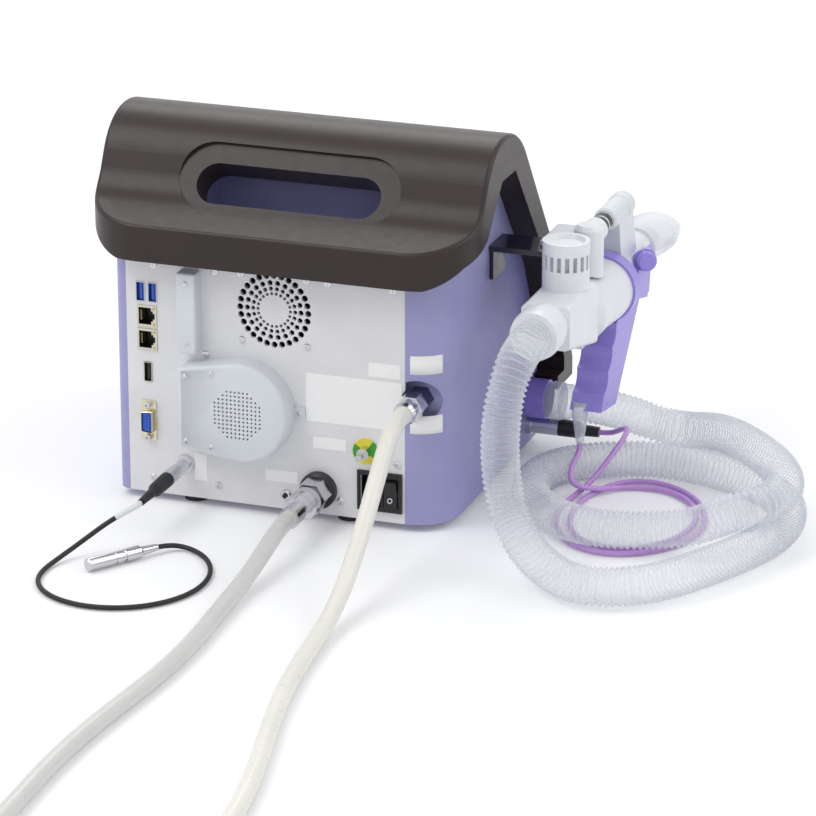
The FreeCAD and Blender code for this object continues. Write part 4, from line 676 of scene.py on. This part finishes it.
plain_cord("ivory_oxygen_hose", coiled(OXYGEN_ROUTE, 1), GAS_HOSE_RADIUS, finishes["ivory_hose"],
           ["oxygen_hose", "oxygen_hose_coil"], length=1.9, far_end="connector", stiffness="stiff",
           lay="coiled", with_pieces=[nodes["oxygen_nut"], nodes["oxygen_hose_end"]])

# Ways to shape a piece

MERGE_DISTANCE = 0.001
# How much of a direction has to lie along an axis to count as along it
NEARLY = 0.9
CORNER_STEPS = 4
DRILL_SIDES = 8


def alone():
    """Leave edit mode and select nothing."""
    if bpy.context.mode != "OBJECT":
        bpy.ops.object.mode_set(mode="OBJECT")
    bpy.ops.object.select_all(action="DESELECT")


def hold(piece):
    """Make a piece the only one that the next operator acts on."""
    alone()
    piece.select_set(True)
    bpy.context.view_layer.objects.active = piece


def opened(piece):
    """Hold a piece in edit mode with all of it selected."""
    hold(piece)
    bpy.ops.object.mode_set(mode="EDIT")
    bpy.ops.mesh.select_all(action="SELECT")


def outward(piece):
    """Turn all faces of a piece outwards."""
    opened(piece)
    bpy.ops.mesh.normals_make_consistent(inside=False)
    bpy.ops.object.mode_set(mode="OBJECT")


def smoothed(piece, degrees, **settings):
    """Shade a piece smooth wherever its faces meet at less than an angle."""
    hold(piece)
    bpy.ops.object.shade_smooth_by_angle(angle=math.radians(degrees), **settings)


def applied(piece, kind, **settings):
    """Give a piece a modifier and apply it at once."""
    modifier = piece.modifiers.new(kind.lower(), kind)
    for key, value in settings.items():
        setattr(modifier, key, value)
    hold(piece)
    bpy.ops.object.modifier_apply(modifier=modifier.name)


def softened(piece, width, segments=2):
    """Round a piece's sharp edges by that many millimetres."""
    applied(piece, "BEVEL", width=width * MM, segments=segments, limit_method="ANGLE")


def cut(piece, cutter):
    """Take the cutter's space out of a piece, and the cutter away."""
    applied(piece, "BOOLEAN", operation="DIFFERENCE", solver="EXACT", object=cutter)
    bpy.data.objects.remove(cutter)


def joined(pieces):
    """One piece made of several."""
    hold(pieces[0])
    for piece in pieces:
        piece.select_set(True)
    bpy.ops.object.join()
    return pieces[0]


def placed(piece):
    """Put an object's place, turn and size into its mesh."""
    hold(piece)
    bpy.ops.object.transform_apply(location=True, rotation=True, scale=True)
    return piece


def block(low, high):
    """A cube stretched between two corners, for the next steps to shape."""
    alone()
    bpy.ops.mesh.primitive_cube_add(size=MM, location=spot(*((Vector(low) + Vector(high)) / 2)))
    piece = bpy.context.object
    piece.scale = Vector(high) - Vector(low)
    return placed(piece)


def slab(x, z, halves, depths):
    """A block round a place on the panel, by its half width and height, from one depth to another."""
    wide, tall = halves
    return block((x - wide, depths[0], z - tall), (x + wide, depths[1], z + tall))


def select(piece, kind, wanted):
    """In edit mode, select the edges or faces that answer by their direction."""
    opened(piece)
    bpy.ops.mesh.select_mode(type=kind)
    bpy.ops.mesh.select_all(action="DESELECT")
    mesh = bmesh.from_edit_mesh(piece.data)
    for item in (mesh.faces if kind == "FACE" else mesh.edges):
        start, end = [vertex.co for vertex in item.verts][:2]
        item.select_set(wanted(item.normal if kind == "FACE" else (end - start).normalized()))
    bmesh.update_edit_mesh(piece.data)


def turned(x, z, rings, sides=32):
    """A piece turned about a line along y: a disc drawn out ring by ring, each a depth and a radius."""
    start, radius = rings[0]
    alone()
    bpy.ops.mesh.primitive_circle_add(vertices=sides, radius=radius * MM, fill_type="NGON",
                                      location=spot(x, start, z), rotation=(math.pi / 2, 0, 0))
    piece = placed(bpy.context.object)
    opened(piece)
    bpy.ops.mesh.select_mode(type="FACE")
    for (near, radius), (far, next_radius) in zip(rings, rings[1:]):
        bpy.ops.mesh.extrude_region_move(TRANSFORM_OT_translate={"value": (0, (far - near) * MM, 0)})
        growth = next_radius / radius
        bpy.ops.transform.resize(value=(growth, 1, growth), center_override=spot(x, far, z))
    outward(piece)
    smoothed(piece, 35)
    return piece


def rod(x, z, radius, stops, sides):
    """A straight rod along y, or the cutter for a bore."""
    return turned(x, z, [(stop, radius) for stop in stops], sides)


def copied(piece, shift):
    """A copy with its own mesh, moved by that many millimetres."""
    hold(piece)
    bpy.ops.object.duplicate(linked=False)
    twin = bpy.context.object
    twin.location = Vector(shift) * MM
    return placed(twin)


def drills(radius, stops, places):
    """The cutter for a field of small holes at those places on the panel."""
    first = rod(0, 0, radius, stops, DRILL_SIDES)
    rods = [copied(first, (x, 0, z)) for x, z in places]
    bpy.data.objects.remove(first)
    return joined(rods)


def own_copy(node_name):
    """A copy of a solid's mesh, its loose triangles merged, for the next steps to shape."""
    source = nodes[node_name]
    piece = source.copy()
    piece.data = source.data.copy()
    bpy.context.scene.collection.objects.link(piece)
    opened(piece)
    bpy.ops.mesh.remove_doubles(threshold=MERGE_DISTANCE * MM)
    bpy.ops.object.mode_set(mode="OBJECT")
    smoothed(piece, 32)
    return piece


def reshaped(piece, rule):
    """Move each point of a piece by a rule in millimetres."""
    for vertex in piece.data.vertices:
        vertex.co = spot(*rule(written(vertex.co)))


def fitted(piece, name, finish, body="unit"):
    """Name a finished piece and give it its material and the body that it rides on."""
    piece.name = name
    wear(piece, finishes[finish])
    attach(piece, body)
    return piece


# Bare label plates

PLATES = {"type_plate": (21, 93.9, 76, 112.5), "upper_plate": (68.7, 92.7, 115.2, 126),
          "gas_plate": (-11, 14.4, 26.1, 35.2), "earth_plate": (25.9, 51.6, 55.5, 64.5),
          "probe_plate": (-66.3, -56.4, 19.3, 39.9)}
PLATE_FACE = -0.35
PLATE_BACK = -0.05
PLATE_CORNER = 1.1
PLATE_RIM = 0.25
PLATE_STEP = 0.05
CORNER_PLATES = {"corner_plate_upper": (120, 134), "corner_plate_lower": (75.2, 88.8)}
CORNER_AXIS = (96, 31.5)
CORNER_RADIUS = 31.5
CORNER_GAP = 0.08
CORNER_MIDDLE = math.radians(29)
CORNER_SPAN = math.radians(44)
CORNER_FILM = 0.25


def plate(name, left, right, low, high):
    """A bare film plate with rounded corners on the rear panel."""
    piece = block((left, PLATE_FACE, low), (right, PLATE_BACK, high))
    select(piece, "EDGE", lambda way: abs(way.y) > NEARLY)
    bpy.ops.mesh.bevel(offset=PLATE_CORNER * MM, segments=CORNER_STEPS)
    select(piece, "FACE", lambda way: way.y < -NEARLY)
    bpy.ops.mesh.inset(thickness=PLATE_RIM * MM, depth=PLATE_STEP * MM)
    bpy.ops.object.mode_set(mode="OBJECT")
    fitted(piece, name, "film")


def corner_plate(name, low, high):
    """A bare film plate bent round the casing's rear corner."""
    alone()
    bpy.ops.mesh.primitive_grid_add(x_subdivisions=14, y_subdivisions=2, size=1)
    piece = bpy.context.object
    out = CORNER_RADIUS + CORNER_GAP
    for vertex in piece.data.vertices:
        angle = CORNER_MIDDLE + CORNER_SPAN * vertex.co.x
        height = (low + high) / 2 + (high - low) * vertex.co.y
        vertex.co = spot(CORNER_AXIS[0] + out * math.sin(angle), CORNER_AXIS[1] - out * math.cos(angle),
                         height)
    outward(piece)
    applied(piece, "SOLIDIFY", thickness=CORNER_FILM * MM, offset=0)
    piece.data.shade_smooth()
    fitted(piece, name, "film")


for plate_name, edges in PLATES.items():
    plate(plate_name, *edges)
for plate_name, edges in CORNER_PLATES.items():
    corner_plate(plate_name, *edges)

# Screws

PANEL_SCREWS = ((-95.5, 181), (-48.1, 181), (38.3, 181), (87.2, 181), (-56, 117.4), (-99, 17),
                (-47.7, 17), (47, 17), (90.5, 50.5), (-28, 181.7), (22, 181.7), (-28, 131.7), (22, 131.7))
COVER_SCREWS = ((-45.5, -18, 109), (-45.5, -18, 53), (-65.5, -18, 105), (-65.5, -18, 56),
                (-66.5, -12, 128), (-66.5, -12, 173), (16.5, -2, 81))
CROSS_WIDTH = 0.5
CROSS_REACH = 1.15


def cross_screw(radius, height):
    """A domed screw head with a cross recess, standing on the panel's face at x = 0 and z = 0."""
    rings = ((-0.02, radius), (-height * 0.45, radius), (-height * 0.8, radius * 0.86),
             (-height, radius * 0.5))
    head = turned(0, 0, rings, 20)
    long, short = radius * CROSS_REACH / 2, CROSS_WIDTH / 2
    for halves in ((long, short), (short, long)):
        cut(head, slab(0, 0, halves, (-height - 1, -height * 0.35)))
    return head


def screws():
    """All the screw heads of the panel and its covers, as one piece."""
    large, small = cross_screw(2.8, 1.4), cross_screw(2, 1)
    heads = [copied(large, (x, 0, z)) for x, z in PANEL_SCREWS]
    heads += [copied(small, place) for place in COVER_SCREWS]
    for pattern in (large, small):
        bpy.data.objects.remove(pattern)
    piece = fitted(joined(heads), "cross_recess_screws", "chrome")
    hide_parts("panel_screws")


screws()

# The perforated cover

HOLE_PITCH = 3.15
HOLE_RADIUS = 0.85
HOLES_ACROSS = 14
FIELD_RADIUS = 19.4
COVER_CENTRE = (-25.4, 80.1)
COVER_DRILL = (-20, -18, -13)


def perforated_cover():
    """The round cover with its field of small holes, drilled through the solid's own shape."""
    piece = own_copy("grille_cover")
    steps = [(index - (HOLES_ACROSS - 1) / 2) * HOLE_PITCH for index in range(HOLES_ACROSS)]
    holes = [(COVER_CENTRE[0] + x, COVER_CENTRE[1] + z) for x in steps for z in steps
             if math.hypot(x, z) < FIELD_RADIUS]
    cut(piece, drills(HOLE_RADIUS, COVER_DRILL, holes))
    piece.data.shade_flat()
    smoothed(piece, 25, keep_sharp_edges=False)
    fitted(piece, "perforated_cover", "cover")
    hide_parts("grille_cover")


perforated_cover()

# Network sockets

NETWORK_SOCKETS = {"network_frame_upper": 141.4, "network_frame_lower": 123.5}
SHELL_HALVES = (7.7, 8.3)
SHELL_DEPTHS = (-0.8, 12)
CAVITY_LEFT = -6.2
CAVITY_DEPTHS = (-2, 10)
LATCH_STEPS = ((3.4, 6.3), (4.8, 3.8), (6.2, 2.1))
CONTACTS = 8
CONTACT_ROW = -5.3
CONTACT_HALVES = (0.7, 0.25)
CONTACT_DEPTHS = (1.5, 8)
LAMP_ROW = 5.6
LAMP_SPREAD = 6
LAMP_HALVES = (1, 1.2)
LAMP_DEPTHS = (-0.95, -0.4)


def network_socket(name, height):
    """A metal frame round a dark cavity with the stepped latch side, its contacts and its two lamps."""
    x = PORT_COLUMN
    shell = slab(x, height, SHELL_HALVES, SHELL_DEPTHS)
    for right, half in LATCH_STEPS:
        cut(shell, block((x + CAVITY_LEFT, CAVITY_DEPTHS[0], height - half),
                         (x + right, CAVITY_DEPTHS[1], height + half)))
    softened(shell, 0.25)
    fitted(shell, name, "network")
    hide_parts("network_sockets")
    contacts = [slab(x + CONTACT_ROW, height + index - (CONTACTS - 1) / 2, CONTACT_HALVES, CONTACT_DEPTHS)
                for index in range(CONTACTS)]
    row = joined(contacts)
    softened(row, 0.1, 1)
    fitted(row, name + "_contacts", "gold")
    for level, shift in (("low", -LAMP_SPREAD), ("high", LAMP_SPREAD)):
        lamp = slab(x + LAMP_ROW, height + shift, LAMP_HALVES, LAMP_DEPTHS)
        softened(lamp, 0.15)
        fitted(lamp, f"{name}_lamp_{level}", "amber")


for socket_name, socket_height in NETWORK_SOCKETS.items():
    network_socket(socket_name, socket_height)

# Blue linings of the two USB sockets

LINING_HEIGHT = 159.8
LINING_HALVES = (2.8, 6.8)
LINING_DEPTHS = (2.2, 9.9)
LINING_WALL = 0.5
LINING_MOUTH = 1.2


def usb_lining(name, column):
    """Blue plastic that lines a shell on both sides of the contact tongue."""
    lining = slab(column, LINING_HEIGHT, LINING_HALVES, LINING_DEPTHS)
    select(lining, "FACE", lambda way: way.y < -NEARLY)
    bpy.ops.mesh.inset(thickness=LINING_WALL * MM, depth=-LINING_MOUTH * MM)
    softened(lining, 0.12)
    fitted(lining, name, "blue")


for lining_name, column in zip(("usb_lining_left", "usb_lining_right"), USB_COLUMNS):
    usb_lining(lining_name, column)

# The fifteen-pin screen socket

SCREEN_HEIGHT = 61.4
FLANGE_HALVES = (6.2, 15.5)
FLANGE_DEPTHS = (-1.2, -0.02)
FLANGE_CORNER = 1.8
D_SHELL = (4.4, 8.6, 7.6)
D_BORE = (3.9, 8.1, 7.1)
D_INSERT = (3.6, 7.8, 6.8)
PIN_RADIUS = 0.5
PIN_DRILL = (-6, -5, -3)
PIN_COLUMN = 2.1
PIN_ROW = 2.3
PIN_STAGGER = 0.35
JACK_SPREAD = 12.5
JACK_PROFILE = ((-1.2, 2.7), (-4.6, 2.7), (-5, 2.3), (-5, 1.4), (-2.6, 1.4))


def tapered_block(halves, depths):
    """A block at the screen socket whose right side is a little taller than its left side."""
    wide, tall, short = halves
    piece = slab(PORT_COLUMN, SCREEN_HEIGHT, (wide, tall), depths)
    select(piece, "FACE", lambda way: way.x < -NEARLY)
    bpy.ops.transform.resize(value=(1, 1, short / tall), center_override=spot(PORT_COLUMN, 0, SCREEN_HEIGHT))
    softened(piece, 0.9, 3)
    return piece


def screen_connector():
    """The fifteen-pin socket: cream flange, hollow D shell, blue insert with pin holes and two jack nuts."""
    x, z = PORT_COLUMN, SCREEN_HEIGHT
    flange = slab(x, z, FLANGE_HALVES, FLANGE_DEPTHS)
    select(flange, "EDGE", lambda way: abs(way.y) > NEARLY)
    bpy.ops.mesh.bevel(offset=FLANGE_CORNER * MM, segments=CORNER_STEPS)
    softened(flange, 0.2)
    shell = tapered_block(D_SHELL, (-6, -1.2))
    cut(shell, tapered_block(D_BORE, (-7, -1.8)))
    body = fitted(joined([flange, shell]), "screen_flange_and_shell", "cream")
    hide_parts("screen_socket")
    insert = tapered_block(D_INSERT, (-5.2, -1.5))
    pins = [(x + column * PIN_COLUMN, z + row * PIN_ROW + column * PIN_STAGGER)
            for column in (-1, 0, 1) for row in (-2, -1, 0, 1, 2)]
    cut(insert, drills(PIN_RADIUS, PIN_DRILL, pins))
    fitted(insert, "screen_pin_block", "blue")
    nuts = [turned(x, z + side * JACK_SPREAD, JACK_PROFILE, 6) for side in (-1, 1)]
    fitted(joined(nuts), "screen_jack_nuts", "chrome")


screen_connector()

# The small plated ring beside the gas inlet

RING_CENTRE = (5.1, 16.9)
RING_PROFILE = ((-0.02, 4.1), (-2.2, 4.1), (-3, 3.4), (-3, 2.4), (-0.6, 2.4))
CORE_PROFILE = ((-0.7, 1.9), (-1.6, 1.9), (-1.9, 1.2))

fitted(turned(*RING_CENTRE, RING_PROFILE, 28), "small_ring_socket", "chrome")
fitted(turned(*RING_CENTRE, CORE_PROFILE, 20), "small_ring_core", "black")

# The handset's mouthpiece and its cradle, drawn from their solids

TUBE_END = 264
MOUTH_SHARE = 0.46
CRADLE_TOP = 187
CRADLE_SHARE = 0.3


def redrawn(node_name, name, finish, body, rule):
    """A copy of a solid's mesh with its points moved by a rule in millimetres."""
    piece = own_copy(node_name)
    reshaped(piece, rule)
    fitted(piece, name, finish, body)
    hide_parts(node_name)


def shorter_mouth(point):
    """The real mouthpiece reaches less far past the tube than the solid does."""
    if point.y > TUBE_END:
        point.y = TUBE_END + (point.y - TUBE_END) * MOUTH_SHARE
    return point


def lower_cradle(point):
    """The real holder's grip stands less high on the arm than the solid does."""
    if point.z > CRADLE_TOP:
        point.z = CRADLE_TOP + (point.z - CRADLE_TOP) * CRADLE_SHARE
    return point


redrawn("mouthpiece", "clear_mouthpiece", "clear", "mouthpiece_body", shorter_mouth)
redrawn("holder_cradle", "low_holder_cradle", "cover", "unit", lower_cradle)

# The handset's gas sensor

SENSOR_X = 192.5
SENSOR_Z = 195
BARREL_PROFILE = ((166, 7.6), (167.5, 9), (200, 9), (200.6, 9.6), (212, 9.6), (213.5, 8))
SADDLE_LOW = (SENSOR_X - 8, 176, 160)
SADDLE_HIGH = (SENSOR_X + 8, 211, 192)
SADDLE_FOOT = (SENSOR_X, 193, 160)
SADDLE_SPREAD = (1.35, 1.1, 1)
TUBE_HEIGHT = 150
TUBE_RADIUS = 14.3
TUBE_STOPS = (160, 190, 230)
BORE_SIDES = 48
WINDOWS = {"adapter_window_146": 146.5, "adapter_window_156": 156}
WINDOW_LENGTH = 6.5
WINDOW_RADIUS = 7.15
WINDOW_BORE = 6.9
WINDOW_STOPS = (140, 150, 170)


def gas_sensor():
    """The slim round sensor that the adapter runs into, on a saddle that stands on the tube."""
    barrel = turned(SENSOR_X, SENSOR_Z, BARREL_PROFILE)
    saddle = block(SADDLE_LOW, SADDLE_HIGH)
    select(saddle, "FACE", lambda way: way.z < -NEARLY)
    bpy.ops.transform.resize(value=SADDLE_SPREAD, center_override=spot(*SADDLE_FOOT))
    cut(saddle, rod(SENSOR_X, TUBE_HEIGHT, TUBE_RADIUS, TUBE_STOPS, BORE_SIDES))
    softened(saddle, 2.2, 3)
    piece = fitted(joined([barrel, saddle]), "round_gas_sensor", "cover")
    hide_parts("sensor_body")


def adapter_window(name, start):
    """A dark half ring let into the top of the adapter."""
    x, z = SENSOR_X, SENSOR_Z
    window = rod(x, z, WINDOW_RADIUS, (start, start + WINDOW_LENGTH), BORE_SIDES)
    cut(window, block((x - 20, 140, z - 20), (x + 20, 170, z - 1)))
    cut(window, rod(x, z, WINDOW_BORE, WINDOW_STOPS, BORE_SIDES))
    fitted(window, name, "black")


gas_sensor()
for window_name, window_start in WINDOWS.items():
    adapter_window(window_name, window_start)

# The plain bar and ring on the switch key

KEY_CENTRE = (85.7, 28.5)
FACET_START = -1.9
FACET_SLOPE = math.tan(math.radians(14))
BAR_SHIFT = 5.1
BAR_HALVES = (0.4, 1.7)
BAR_DEPTHS = (-0.25, 0.15)
RING_SHIFT = -5.2
RING_RADIUS = 1.9
RING_BORE = 1.3
RING_SIDES = 24


def rocker_marks():
    """The marks of the switch key, pressed a little into its two facets."""
    x, z = KEY_CENTRE
    bar = slab(x, z + BAR_SHIFT, BAR_HALVES, BAR_DEPTHS)
    softened(bar, 0.12)
    ring = rod(x, z + RING_SHIFT, RING_RADIUS, (0.15, -0.25), RING_SIDES)
    cut(ring, rod(x, z + RING_SHIFT, RING_BORE, (1, 0, -1), RING_SIDES))
    for piece, slope, name in ((bar, 0, "switch_bar_mark"), (ring, FACET_SLOPE, "switch_ring_mark")):
        reshaped(piece, lambda point: point + Vector((0, FACET_START - abs(point.z - z) * slope, 0)))
        fitted(piece, name, "white", "rocker")


rocker_marks()
